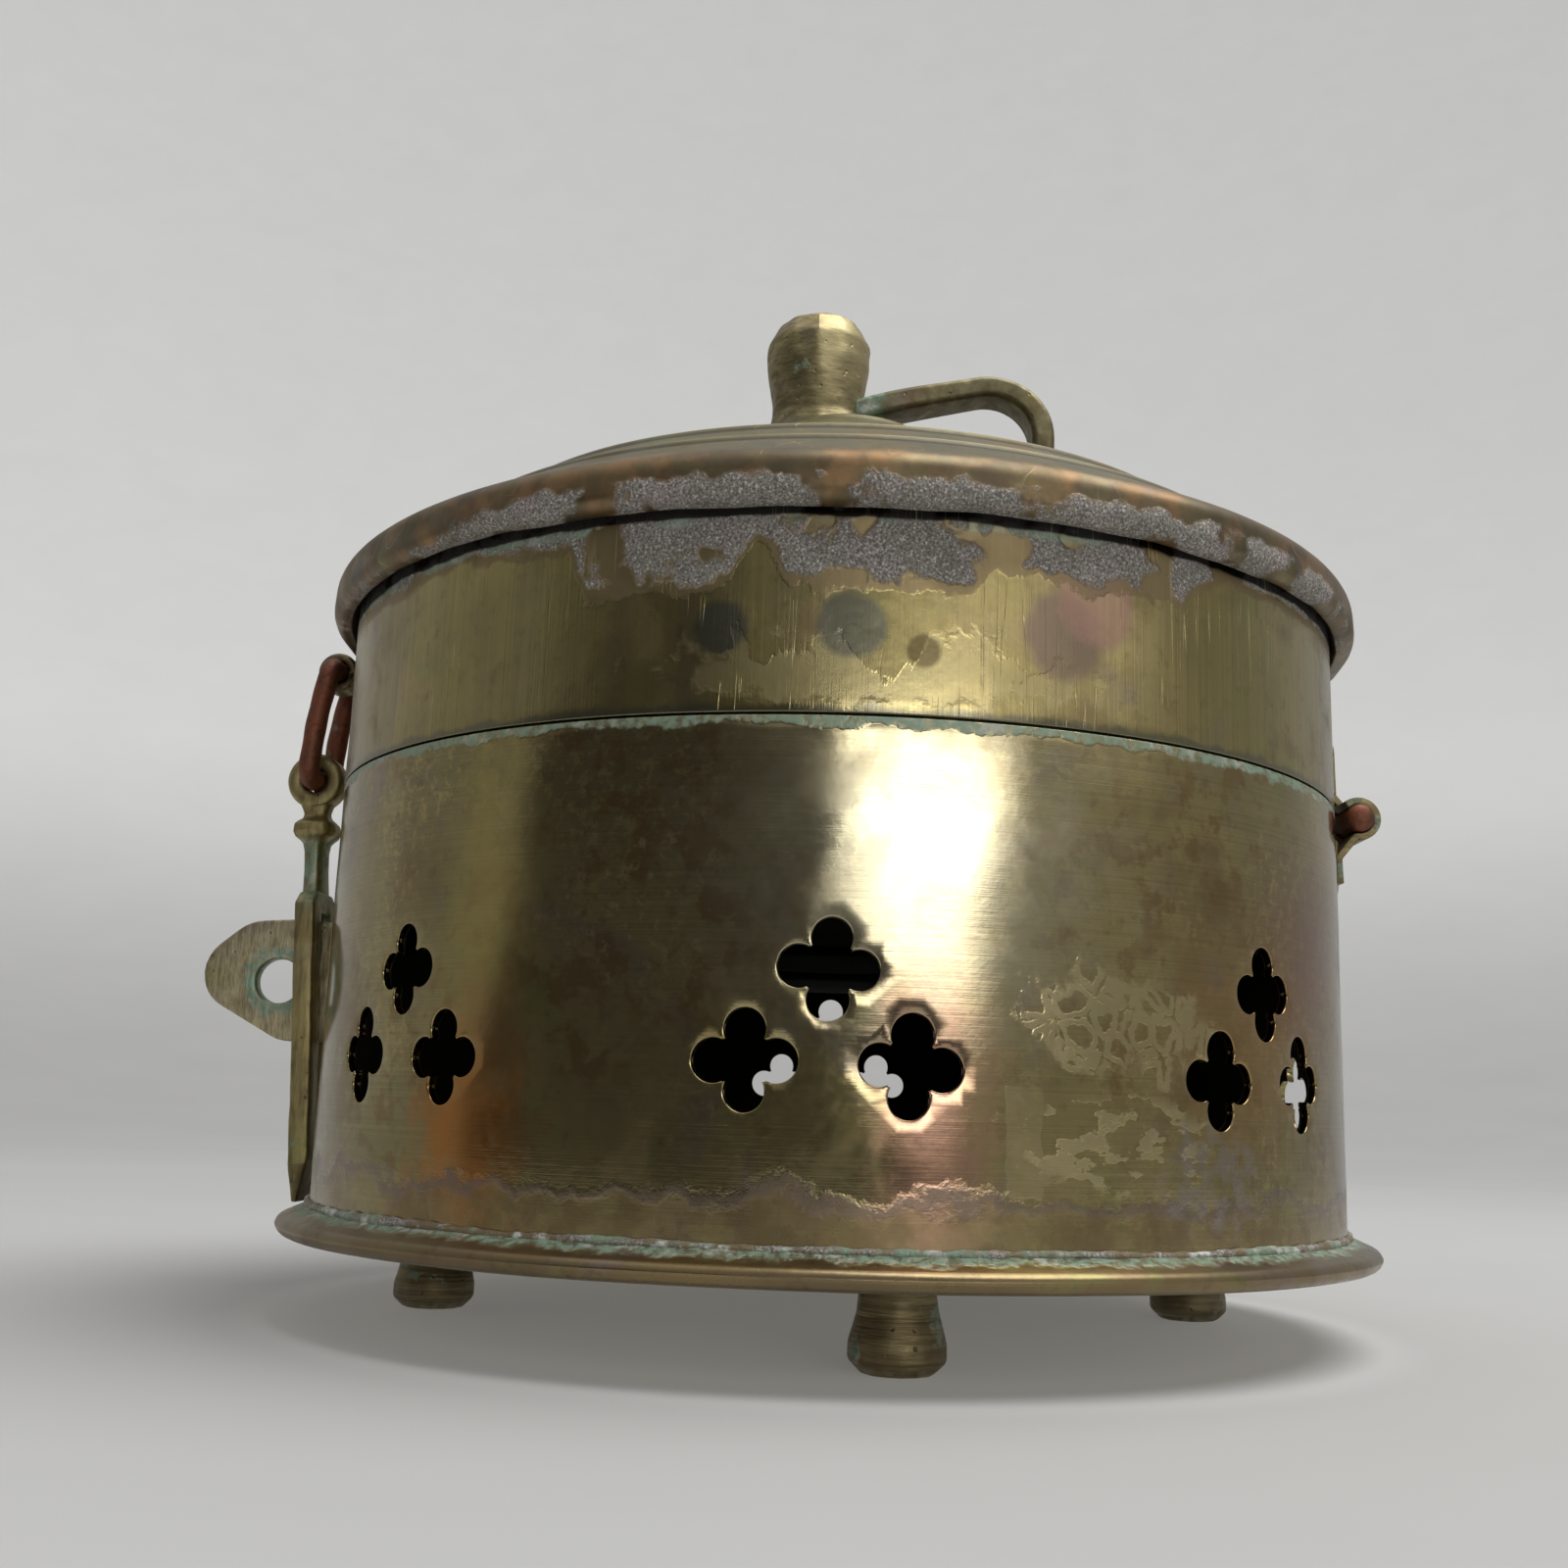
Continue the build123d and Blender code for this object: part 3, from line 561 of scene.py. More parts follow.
def knuckle(name, side, start, end):
    """A bent sheet from the wall round the pin, between two places along the pin."""
    thick = 0.8
    reach = 1.66 + thick / 2
    centre = HINGE
    first = math.radians(-100 if side < 0 else 100)
    sweep = math.radians(232) * (1 if side < 0 else -1)
    angle = first + sweep * np.linspace(0, 1, 26)
    wrap = centre + reach * np.stack([np.cos(angle), np.sin(angle)], 1)
    root = np.array([RADIUS + 0.3, centre[1] + side * 4.6])
    foot = np.array([RADIUS + 0.4, centre[1] + side * 7.5])
    lead = rounded([foot, root, wrap[0]], [0, 0.8, 0], closed=False)
    outline = divided(ribbon(np.concatenate([lead[:-1], wrap]), thick), 0.7)

    def place(points):
        return np.c_[points[:, 2] + start, points[:, 0], points[:, 1]]

    return slab(name, outline, [], end - start, 0.12, place)


def hinge_leaf(name, side, knuckles):
    """A hinge leaf: a plate bent to the wall, and its knuckles."""
    near, far = HINGE[1] + side * 2.6, HINGE[1] + side * 8.9
    outline = rounded([(-8.5, near), (8.5, near), (7.9, far), (-7.9, far)], [0.3, 0.3, 1.4, 1.4])
    plate = slab(name + "_plate", divided(outline, 1.0), [], 0.85, 0.2, wall_place, spacing=1.6)
    wraps = [knuckle(f"{name}_{k}", side, *span) for k, span in enumerate(knuckles)]
    return joined(name, [plate, *wraps])


def hinge_pin():
    """The copper pin: a rough round bar with hammered ends."""
    low, high = corners("hinge_pin")
    places, scale = round_ends(40, high[0] - low[0], 0.9)
    swell = 1 + 0.02 * np.sin(places * 1.7)
    path = np.stack([low[0] + places, np.full_like(places, HINGE[0]), np.full_like(places, HINGE[1])], 1)
    return rod("copper_pin", path, circle(1.56, 28), (0, 1, 0), scale=scale * swell)


# ---- the lid ----------------------------------------------------------------
def lid_band():
    """The lid's band: a thin upright ring."""
    low, high = band_low[2], band_high[2]
    outline = rounded([(RADIUS - WALL, low), (RADIUS, low), (RADIUS, high), (RADIUS - WALL, high)], 0.14)

    def bend(angle, radius, height):
        fade = np.clip((height - low) / 5, 0, 1)
        return (0.10 * ripple(angle, height, 51, waves=6, reach=12.0) - 0.04) * fade, 0.0 * angle

    return lathe("band", divided(outline, 1.2), 300, bend=bend)


def lid_top():
    """The stepped lid top: terraces with small rounded crests, and an edge rolled down over the
    band with a wavy lower lip."""
    steps = [(0.0, 6.0), *zip(STEP_INSETS, (10.5, 14.05, 20.5))]
    under = [(0, SEAT - WALL), (10.5, SEAT - WALL)]
    over = [(0, SEAT), (10.5, SEAT), (11.2, SEAT - 0.75)]
    for inset, rise in steps[::-1]:
        reach, crest = RADIUS - inset, EDGE + rise
        over += [(reach - 0.8, crest - 0.25), (reach, crest), (reach + 0.7, crest - 0.8)]
        if inset:
            under.append((reach, crest - 1.75))
    over = over[:-1]
    over_radii = [0, 0.4, 0.5] + [0.8, 0.45, 0.8] * (len(steps) - 1) + [0.6, 1.6]
    edge = [(EDGE_RADIUS - 0.3, EDGE + 4.6), (EDGE_RADIUS, EDGE), (RADIUS + 0.75, EDGE + 0.05)]
    edge_radii = [2.6, 1.5, 0.3]
    inner = RADIUS - WALL
    tuck = [(RADIUS, EDGE + 1.6), (RADIUS, EDGE + 3.0), (inner, EDGE + 3.1), (inner, EDGE + 4.4)]
    tuck_radii = [0.2, 0, 0, 0.3]
    outline = rounded(
        over + edge + tuck + under[::-1],
        over_radii + edge_radii + tuck_radii + [0.8] * (len(under) - 1) + [0],
        closed=False,
        steps=6,
    )

    def bend(angle, radius, height):
        rim = np.clip(1 - (height - EDGE) / 4.5, 0, 1) * np.clip((radius - RADIUS + 0.6) / 1.2, 0, 1)
        wave = 0.30 * ripple(angle, 0 * height, 61, waves=8)
        wave = wave + 0.10 * np.sin(31 * angle + 1) * np.sin(9 * angle)
        plan = 0.05 * ripple(angle, height, 62, waves=6) - 0.05
        wide = np.clip(radius / 20, 0, 1)
        rise = (wave + 0.18) * rim + 0.10 * ripple(angle, radius, 63) * wide * (1 - rim)
        return (plan - 0.06 * rim) * wide, rise

    return lathe("stepped_top", divided(outline, 1.6, closed=False), 300, closed=False, bend=bend)


def knob():
    """The thimble knob: a flared foot, a waist, and a head filed into rough facets."""
    height = knob_high[2] - SEAT
    foot_r = (knob_high[0] - knob_low[0]) / 2
    outline = rounded(
        [
            (0, 0),
            (foot_r - 0.6, 0),
            (foot_r - 0.7, 1.0),
            (5.75, 3.4),
            (5.8, 6.0),
            (6.5, 10.2),
            (6.5, 13.4),
            (5.2, 15.8),
            (2.6, height - 0.35),
            (0, height - 0.1),
        ],
        [0, 0.3, 0.5, 2.5, 8.0, 6.0, 2.4, 1.6, 2.0, 0],
        closed=False,
    )

    def bend(angle, radius, rise):
        head = np.clip((rise - 9) / 5, 0, 1)
        facets = 9
        slice_ = (angle + 0.15 * np.sin(3 * angle)) % (TURN / facets) - TURN / facets / 2
        flat = (math.cos(math.pi / facets) / np.cos(slice_) - 1) * radius * 0.6
        dent = 0.20 * ripple(angle, rise, 71, waves=9, reach=2.4)
        return flat * head + dent - 0.14, 0.18 * ripple(angle, radius, 72) * head - 0.12 * head

    outline = divided(outline, 0.35, closed=False)
    piece = lathe("knob_body", outline, 108, closed=False, bend=bend, crease=28)
    piece.data.transform(Matrix.Translation((0, KNOB_Y * MM, SEAT * MM)))
    return piece


def knob_washer():
    """The washer under the lid."""
    low, high = corners("knob_washer")
    outline = rounded([(2.3, low[2]), (5.2, low[2]), (5.2, high[2]), (2.3, high[2])], 0.15)
    return lathe("washer", outline, 48, centre=(0, KNOB_Y))


def loop_handle():
    """The strap loop: a rounded flat section along a line, one bend and a leg into the lid."""
    low, high = corners("loop_handle")
    leg = high[1] - 1.4
    top = SEAT + 9.8
    corners_ = [(0.8, SEAT + 4.2), (leg, top), (leg, low[2] + 1.2)]
    line = divided(rounded(corners_, [0, 6.8, 0], closed=False, steps=16), 0.8, closed=False)
    reach = np.linspace(0, 1, len(line))
    sway = 0.18 * np.sin(5.2 * reach + 0.6) + 0.10 * np.sin(13 * reach)
    path = np.c_[sway, line[:, 0], line[:, 1] - 0.25 + 0.12 * np.sin(9 * reach)]
    swell = 1 + 0.035 * np.sin(11 * reach) - 0.02
    return rod("strap_loop", path, box_section(5.5, 2.75, 0.75), (1, 0, 0), scale=swell)


def link_eye():
    """The eye on the band: a round ring plate with a square root."""
    low, high = corners("link_eye")
    wide = high[0] - low[0]
    y, z = LINK_TOP

    def place(points):
        return np.c_[points[:, 2] - wide / 2, y + points[:, 0], z + points[:, 1]]

    eye = slab("eye_ring", circle(2.4, 40), [circle(WIRE_HOLE, 32)], wide, 0.4, place)
    root = rounded([(1.2, -2.2), (4.3, -2.6), (4.3, 0.6), (1.2, 0.2)], 0.3)
    block = slab("eye_root", divided(root, 0.6), [], wide, 0.4, place)
    return joined("band_eye", [eye, block])


# ---- the latch --------------------------------------------------------------
def copper_link():
    """The closed wire link: a round section along a rounded rectangle, slightly bowed."""
    low, high = corners("copper_link")
    half = (high[0] - low[0]) / 2 - WIRE
    down = LINK_FOOT - LINK_TOP
    length = np.linalg.norm(down)
    down = down / length
    loop = divided(rounded([(half, 0), (half, length), (-half, length), (-half, 0)], 1.7, steps=8), 0.5)
    bow = 0.22 * np.sin(math.pi * loop[:, 1] / length) * np.sign(loop[:, 0])
    out = 0.25 * np.sin(math.pi * loop[:, 1] / length) ** 2
    normal = np.array([down[1], -down[0]])
    flat = LINK_TOP + loop[:, 1, None] * down - out[:, None] * normal * np.sign(normal[0])
    path = np.c_[loop[:, 0] - bow * 0.5, flat]
    swell = 0.98 + 0.025 * np.sin(np.arange(len(path)) * 0.7)
    return rod("wire_link", path, circle(WIRE, 20), (0, *normal), closed=True, scale=swell)


HASP_LEAN = math.radians(3.5)


def hasp_place(points):
    """Turns (across, distance below the eye, outward) into a place, leaning in to the wall."""
    across, below, out = points.T
    y = LINK_FOOT[0] - out * math.cos(HASP_LEAN) + below * math.sin(HASP_LEAN)
    z = LINK_FOOT[1] - below * math.cos(HASP_LEAN) - out * math.sin(HASP_LEAN)
    return np.c_[across, y, z]


def hasp():
    """The cast hasp: a round eye, a lofted groove, collar and neck, and a slotted rail whose tail
    is cut back to a wedge."""
    def eye_place(points):
        return hasp_place(np.c_[points[:, 2] - EYE_WIDE / 2, points[:, 1], points[:, 0]])

    eye = slab("hasp_eye", circle(3.35, 48), [circle(WIRE_HOLE, 32)], EYE_WIDE, 0.7, eye_place)
    below = np.array([2.3, 3.3, 3.9, 4.3, 4.6, 4.9, 5.3, 6.2, 6.8, 7.2, 7.6, 8.6, 11.0, 13.2, 14.2])
    width = np.array([3.4, 3.0, 2.9, 3.0, 3.6, 5.0, 6.2, 6.4, 6.0, 5.2, 4.6, 4.3, 4.4, 4.8, 5.4])
    depth = np.array([4.2, 3.3, 2.9, 3.0, 3.3, 4.0, 4.7, 4.9, 4.4, 3.4, 2.7, 2.3, 2.2, 2.3, 2.3])
    fine = np.linspace(below[0], below[-1], 70)
    angle = np.linspace(0, TURN, 40, endpoint=False)
    power = 2 / 3.6
    ring = np.stack([
        np.sign(np.cos(angle)) * np.abs(np.cos(angle)) ** power,
        np.sign(np.sin(angle)) * np.abs(np.sin(angle)) ** power,
    ], 1)
    wide, deep = np.interp(fine, below, width) / 2, np.interp(fine, below, depth) / 2
    across, out = ring[None, :, 0] * wide[:, None], ring[None, :, 1] * deep[:, None]
    grid = np.stack(np.broadcast_arrays(across, fine[:, None], out), 2)
    count = len(angle)
    last = (len(fine) - 1) * count
    faces = quads(len(fine), count, False, True).tolist()
    faces += [list(range(count)), list(range(last, last + count))]
    neck = mesh_object("hasp_neck", hasp_place(grid.reshape(-1, 3)), faces, 50)
    start, end, tail = 13.6, 45.0, 49.3
    half, thick = 4.65, 2.35
    rail = rounded(
        [
            (-half, end),
            (-half, start + 1.4),
            (-half + 1.9, start),
            (half - 1.9, start),
            (half, start + 1.4),
            (half, end),
            (half - 1.6, tail),
            (-half + 1.6, tail),
        ],
        [0.3, 0.8, 0.8, 0.8, 0.8, 0.3, 0.6, 0.6],
    )
    slot = rounded([(-1.45, 16.1), (1.45, 16.1), (1.45, 43.4), (-1.45, 43.4)], 0.5)

    def rail_place(points):
        across, down, out = points[:, 0], points[:, 1], thick / 2 - points[:, 2]
        cut = np.clip((down - end + 0.4) / (tail - end + 0.4), 0, 1)
        out = thick / 2 - (thick / 2 - out) * (1 - 0.78 * cut)
        wear = 0.07 * ripple(down * 0.35, across, 81)
        return hasp_place(np.c_[across, down, out + wear - 0.04])

    rail, slot = divided(rail, 0.8), divided(slot, 0.8)
    strap = slab("hasp_rail", rail, [slot], thick, 0.35, rail_place, spacing=1.2)
    return joined("slotted_hasp", [eye, neck, strap])


# ---- the tray and the cups --------------------------------------------------
def cup_places():
    """The cups' centres, read from the frame."""
    return [sum(corners(f"cup_{number}"))[:2] / 2 for number in range(1, 8)]


def cup_tray():
    """The tray: a disc with a hole for each cup, and a turned-up rim."""
    low, high = corners("cup_tray")
    reach = max(high[0], high[1])
    holes = [circle(CUP_HOLE, 72, spot) for spot in cup_places()]

    def place(points):
        return np.c_[points[:, :2], low[2] + 0.9 - points[:, 2]]

    floor = slab("tray_floor", circle(reach - 0.3, 200), holes, 0.9, 0.12, place, spacing=2.5)
    inner = reach - 0.8
    rim = [(inner, low[2]), (reach, low[2]), (reach, high[2]), (inner, high[2])]
    rim = rounded(rim, [0.1, 0.5, 0.35, 0.35])
    wall = lathe("tray_rim", divided(rim, 0.8), 200)
    return joined("tray", [floor, wall])


def cup(number):
    """A small bowl: a flange, a straight wall and a rounded floor, of spun sheet."""
    low, high = corners(f"cup_{number}")
    centre = (low[:2] + high[:2]) / 2
    reach = (high[0] - low[0]) / 2
    seat, top, bottom = high[2] - CUP_SHEET, high[2], low[2]
    body = reach - 1.2
    inner = body - CUP_SHEET
    outline = rounded(
        [
            (0, bottom + CUP_SHEET),
            (inner, bottom + CUP_SHEET),
            (inner, top - 0.05),
            (reach, top),
            (reach, seat),
            (body, seat),
            (body, bottom),
            (0, bottom),
        ],
        [0, 3.8, 0.3, 0.39, 0.39, 0.2, 4.6, 0],
        closed=False,
        steps=8,
    )

    def bend(angle, radius, height):
        return 0.05 * ripple(angle, height, 90 + number) - 0.06, 0.0 * angle

    outline = divided(outline, 1.2, closed=False)
    return lathe(f"spice_cup_{number}", outline, 96, closed=False, bend=bend, centre=centre)


# ---- finishes ---------------------------------------------------------------
class Signal:
    """A shader output that takes part in arithmetic: each operator adds one Math node."""

    def __init__(self, finish, socket):
        self.finish, self.socket = finish, socket

    def __add__(self, other):
        return self.finish.maths("ADD", self, other)

    def __sub__(self, other):
        return self.finish.maths("SUBTRACT", self, other)

    def __rsub__(self, other):
        return self.finish.maths("SUBTRACT", other, self)

    def __mul__(self, other):
        return self.finish.maths("MULTIPLY", self, other)

    def __truediv__(self, other):
        return self.finish.maths("DIVIDE", self, other)

    def __pow__(self, other):
        return self.finish.maths("POWER", self, other)

    __radd__ = __add__
    __rmul__ = __mul__


class Graph:
    """A node tree under way."""

    def __init__(self, tree):
        self.tree = tree
        tree.nodes.clear()

    def node(self, kind, settings=None, inputs=None, output=0):
        """Adds a node with its settings, then its inputs, and returns one output as a Signal."""
        node = self.tree.nodes.new(kind)
        for key, value in (settings or {}).items():
            setattr(node, key, value)
        for key, value in (inputs or {}).items():
            if isinstance(value, Signal):
                self.tree.links.new(value.socket, node.inputs[key])
            else:
                node.inputs[key].default_value = value
        return Signal(self, node.outputs[output])

    def maths(self, operation, *values):
        """One Math node on one to three values."""
        return self.node("ShaderNodeMath", {"operation": operation}, dict(enumerate(values)))

    def split(self, vector):
        """A vector's three numbers."""
        return [self.node("ShaderNodeSeparateXYZ", {}, {0: vector}, output=axis) for axis in "XYZ"]

    def ease(self, value, low, high):
        """0 below low, 1 above high, and smooth between them."""
        steps = {"Value": value, "From Min": low, "From Max": high}
        return self.node("ShaderNodeMapRange", {"interpolation_type": "SMOOTHSTEP"}, steps)


class Surround(Graph):
    """The light that comes from all round, with each direction's angle round the box and above
    the floor, in degrees."""

    def __init__(self, tree):
        super().__init__(tree)
        x, y, z = self.split(self.node("ShaderNodeTexCoord", output="Generated"))
        self.side = self.maths("ARCTAN2", y, x) * math.degrees(1)
        self.up = self.maths("ARCSINE", z) * math.degrees(1)


class Finish(Graph):
    """A material under way, with this object's coordinates at hand in millimetres: place, its x,
    y and height, the distance out from the axis, and the arc along the wall from the side that
    faces +X."""

    def __init__(self, name):
        self.material = bpy.data.materials.new(name)
        self.material.use_nodes = True
        super().__init__(self.material.node_tree)
        self.seed = 0
        metres = self.node("ShaderNodeTexCoord", output="Object")
        inputs = {0: metres, "Scale": 1 / MM}
        self.place = self.node("ShaderNodeVectorMath", {"operation": "SCALE"}, inputs)
        self.x, self.y, self.height = self.split(self.place)
        self.out = self.maths("SQRT", self.x * self.x + self.y * self.y)
        self.arc = self.maths("ARCTAN2", self.y, self.x) * RADIUS

    def both(self, a, b):
        """The larger of two masks."""
        return self.maths("MAXIMUM", a, b)

    def stretch(self, size):
        """Place, shrunk so that a pattern of unit size gets the given size in millimetres along
        each axis, and moved by a new amount for each pattern."""
        self.seed += 1
        scale = np.broadcast_to(1 / np.array(size, float), 3).tolist()
        shift = [7.3 * self.seed, 3.1 * self.seed, 5.7 * self.seed]
        inputs = {0: self.place, 1: scale, 2: shift}
        return self.node("ShaderNodeVectorMath", {"operation": "MULTIPLY_ADD"}, inputs)

    def cloud(self, size, detail=3.0, roughness=0.55, warp=0.0):
        """Smooth noise of the given size in millimetres, which lies mostly between 0.3 and 0.7."""
        inputs = {"Vector": self.stretch(size), "Scale": 1.0}
        inputs.update({"Detail": detail, "Roughness": roughness, "Distortion": warp})
        return self.node("ShaderNodeTexNoise", {}, inputs)

    def cells(self, size, feature="F1"):
        """The distance to the nearest of scattered points, or to the border between them."""
        inputs = {"Vector": self.stretch(size), "Scale": 1.0}
        return self.node("ShaderNodeTexVoronoi", {"feature": feature}, inputs, output="Distance")

    def spot(self, arc, height, wide, tall, rag=0.6, soft=0.25):
        """A ragged oval stain on the wall, with its middle at the arc and the height."""
        across = (self.arc - arc) / wide
        up = (self.height - height) / tall
        reach = self.maths("SQRT", across * across + up * up)
        reach = reach + (self.cloud(3.2, detail=4) - 0.5) * (2 * rag)
        return self.ease(reach, 1 + soft, 1 - soft)

    def mix(self, factor, under, over, mode="MIX"):
        """One colour over another."""
        colours = {0: factor}
        for key, colour in ((6, under), (7, over)):
            colours[key] = colour if isinstance(colour, Signal) else (*colour, 1.0)
        settings = {"data_type": "RGBA", "blend_type": mode, "clamp_factor": True}
        return self.node("ShaderNodeMix", settings, colours, output=2)

    def scratches(self, size, thin=0.02):
        """Long thin lines: the middle level of stretched noise, where it crosses a half."""
        line = self.maths("ABSOLUTE", self.cloud(size, detail=1) - 0.5)
        return self.ease(line, thin, 0.0)

    def done(self, colour, roughness, metallic=1.0, height=None, depth=0.05, glow=None):
        """Makes the shader. height is a relief in millimetres times depth, and glow is a colour
        that the surface gives off."""
        inputs = {"Base Color": colour, "Roughness": roughness, "Metallic": metallic}
        if glow is not None:
            inputs.update({"Emission Color": glow, "Emission Strength": 1.0})
        if not isinstance(colour, Signal):
            inputs["Base Color"] = (*colour, 1.0)
        if height is not None:
            relief = {"Strength": 1.0, "Distance": depth * MM, "Height": height}
            inputs["Normal"] = self.node("ShaderNodeBump", {}, relief)
        shader = self.node("ShaderNodeBsdfPrincipled", {}, inputs)
        self.node_output(shader)
        return self.material

    def node_output(self, shader):
        """Links the shader to the material's surface."""
        end = self.tree.nodes.new("ShaderNodeOutputMaterial")
        self.tree.links.new(shader.socket, end.inputs["Surface"])


OLIVE = (0.30, 0.255, 0.125)
GOLD = (0.47, 0.385, 0.175)
PALE = (0.56, 0.48, 0.27)
BROWN = (0.20, 0.135, 0.07)
UMBER = (0.10, 0.075, 0.04)
ORANGE = (0.42, 0.19, 0.055)
LILAC = (0.27, 0.21, 0.22)
MOSS = (0.27, 0.29, 0.10)
ROSE = (0.50, 0.27, 0.20)
SLATE = (0.13, 0.14, 0.12)
GREEN = (0.25, 0.36, 0.27)
CHALK = (0.46, 0.50, 0.43)
COPPER = (0.27, 0.10, 0.06)


def old_brass(finish, base=OLIVE, bright=GOLD, brown=0.5):
    """Aged brass: two clouds move its colour between dull, bright and brown, with green and lilac
    tints where the metal was heated."""
    broad = finish.cloud(26, detail=4, warp=0.6)
    middle = finish.cloud(8, detail=5, warp=0.4)
    fine = finish.cloud(1.4, detail=4)
    colour = finish.mix(finish.ease(broad, 0.38, 0.66) * 0.8, base, bright)
    colour = finish.mix(finish.ease(middle, 0.50, 0.72) * brown, colour, BROWN)
    heated = finish.ease(finish.cloud(15, warp=1.0), 0.56, 0.72)
    colour = finish.mix(heated * 0.45, colour, LILAC)
    greenish = finish.ease(finish.cloud(11, warp=1.0), 0.58, 0.74)
    colour = finish.mix(greenish * 0.5, colour, MOSS)
    colour = finish.mix(finish.ease(fine, 0.52, 0.75) * 0.35, colour, UMBER)
    return colour, middle, fine


def verdigris(finish, colour, mask):
    """Green and chalky corrosion over a colour, and how strongly it covers each place."""
    mottle = finish.ease(finish.cloud(0.9, detail=4), 0.36, 0.62)
    chalk = finish.ease(finish.cloud(2.2, detail=3), 0.52, 0.66)
    green = finish.mix(chalk, GREEN, CHALK)
    cover = mask * (0.35 + 0.65 * mottle)
    return finish.mix(cover, colour, green), cover


def solder(finish, colour, mask):
    """Old solder over a colour: grey and lilac grains with bright specks."""
    grain = finish.cloud(0.24, detail=2, roughness=0.6)
    tone = finish.mix(finish.ease(finish.cloud(4.5), 0.42, 0.6), (0.31, 0.29, 0.26), (0.37, 0.33, 0.31))
    tone = finish.mix(finish.ease(grain, 0.34, 0.56), (0.15, 0.135, 0.115), tone)
    tone = finish.mix(finish.ease(grain, 0.58, 0.68), tone, (0.66, 0.65, 0.60))
    return finish.mix(mask, colour, tone), grain


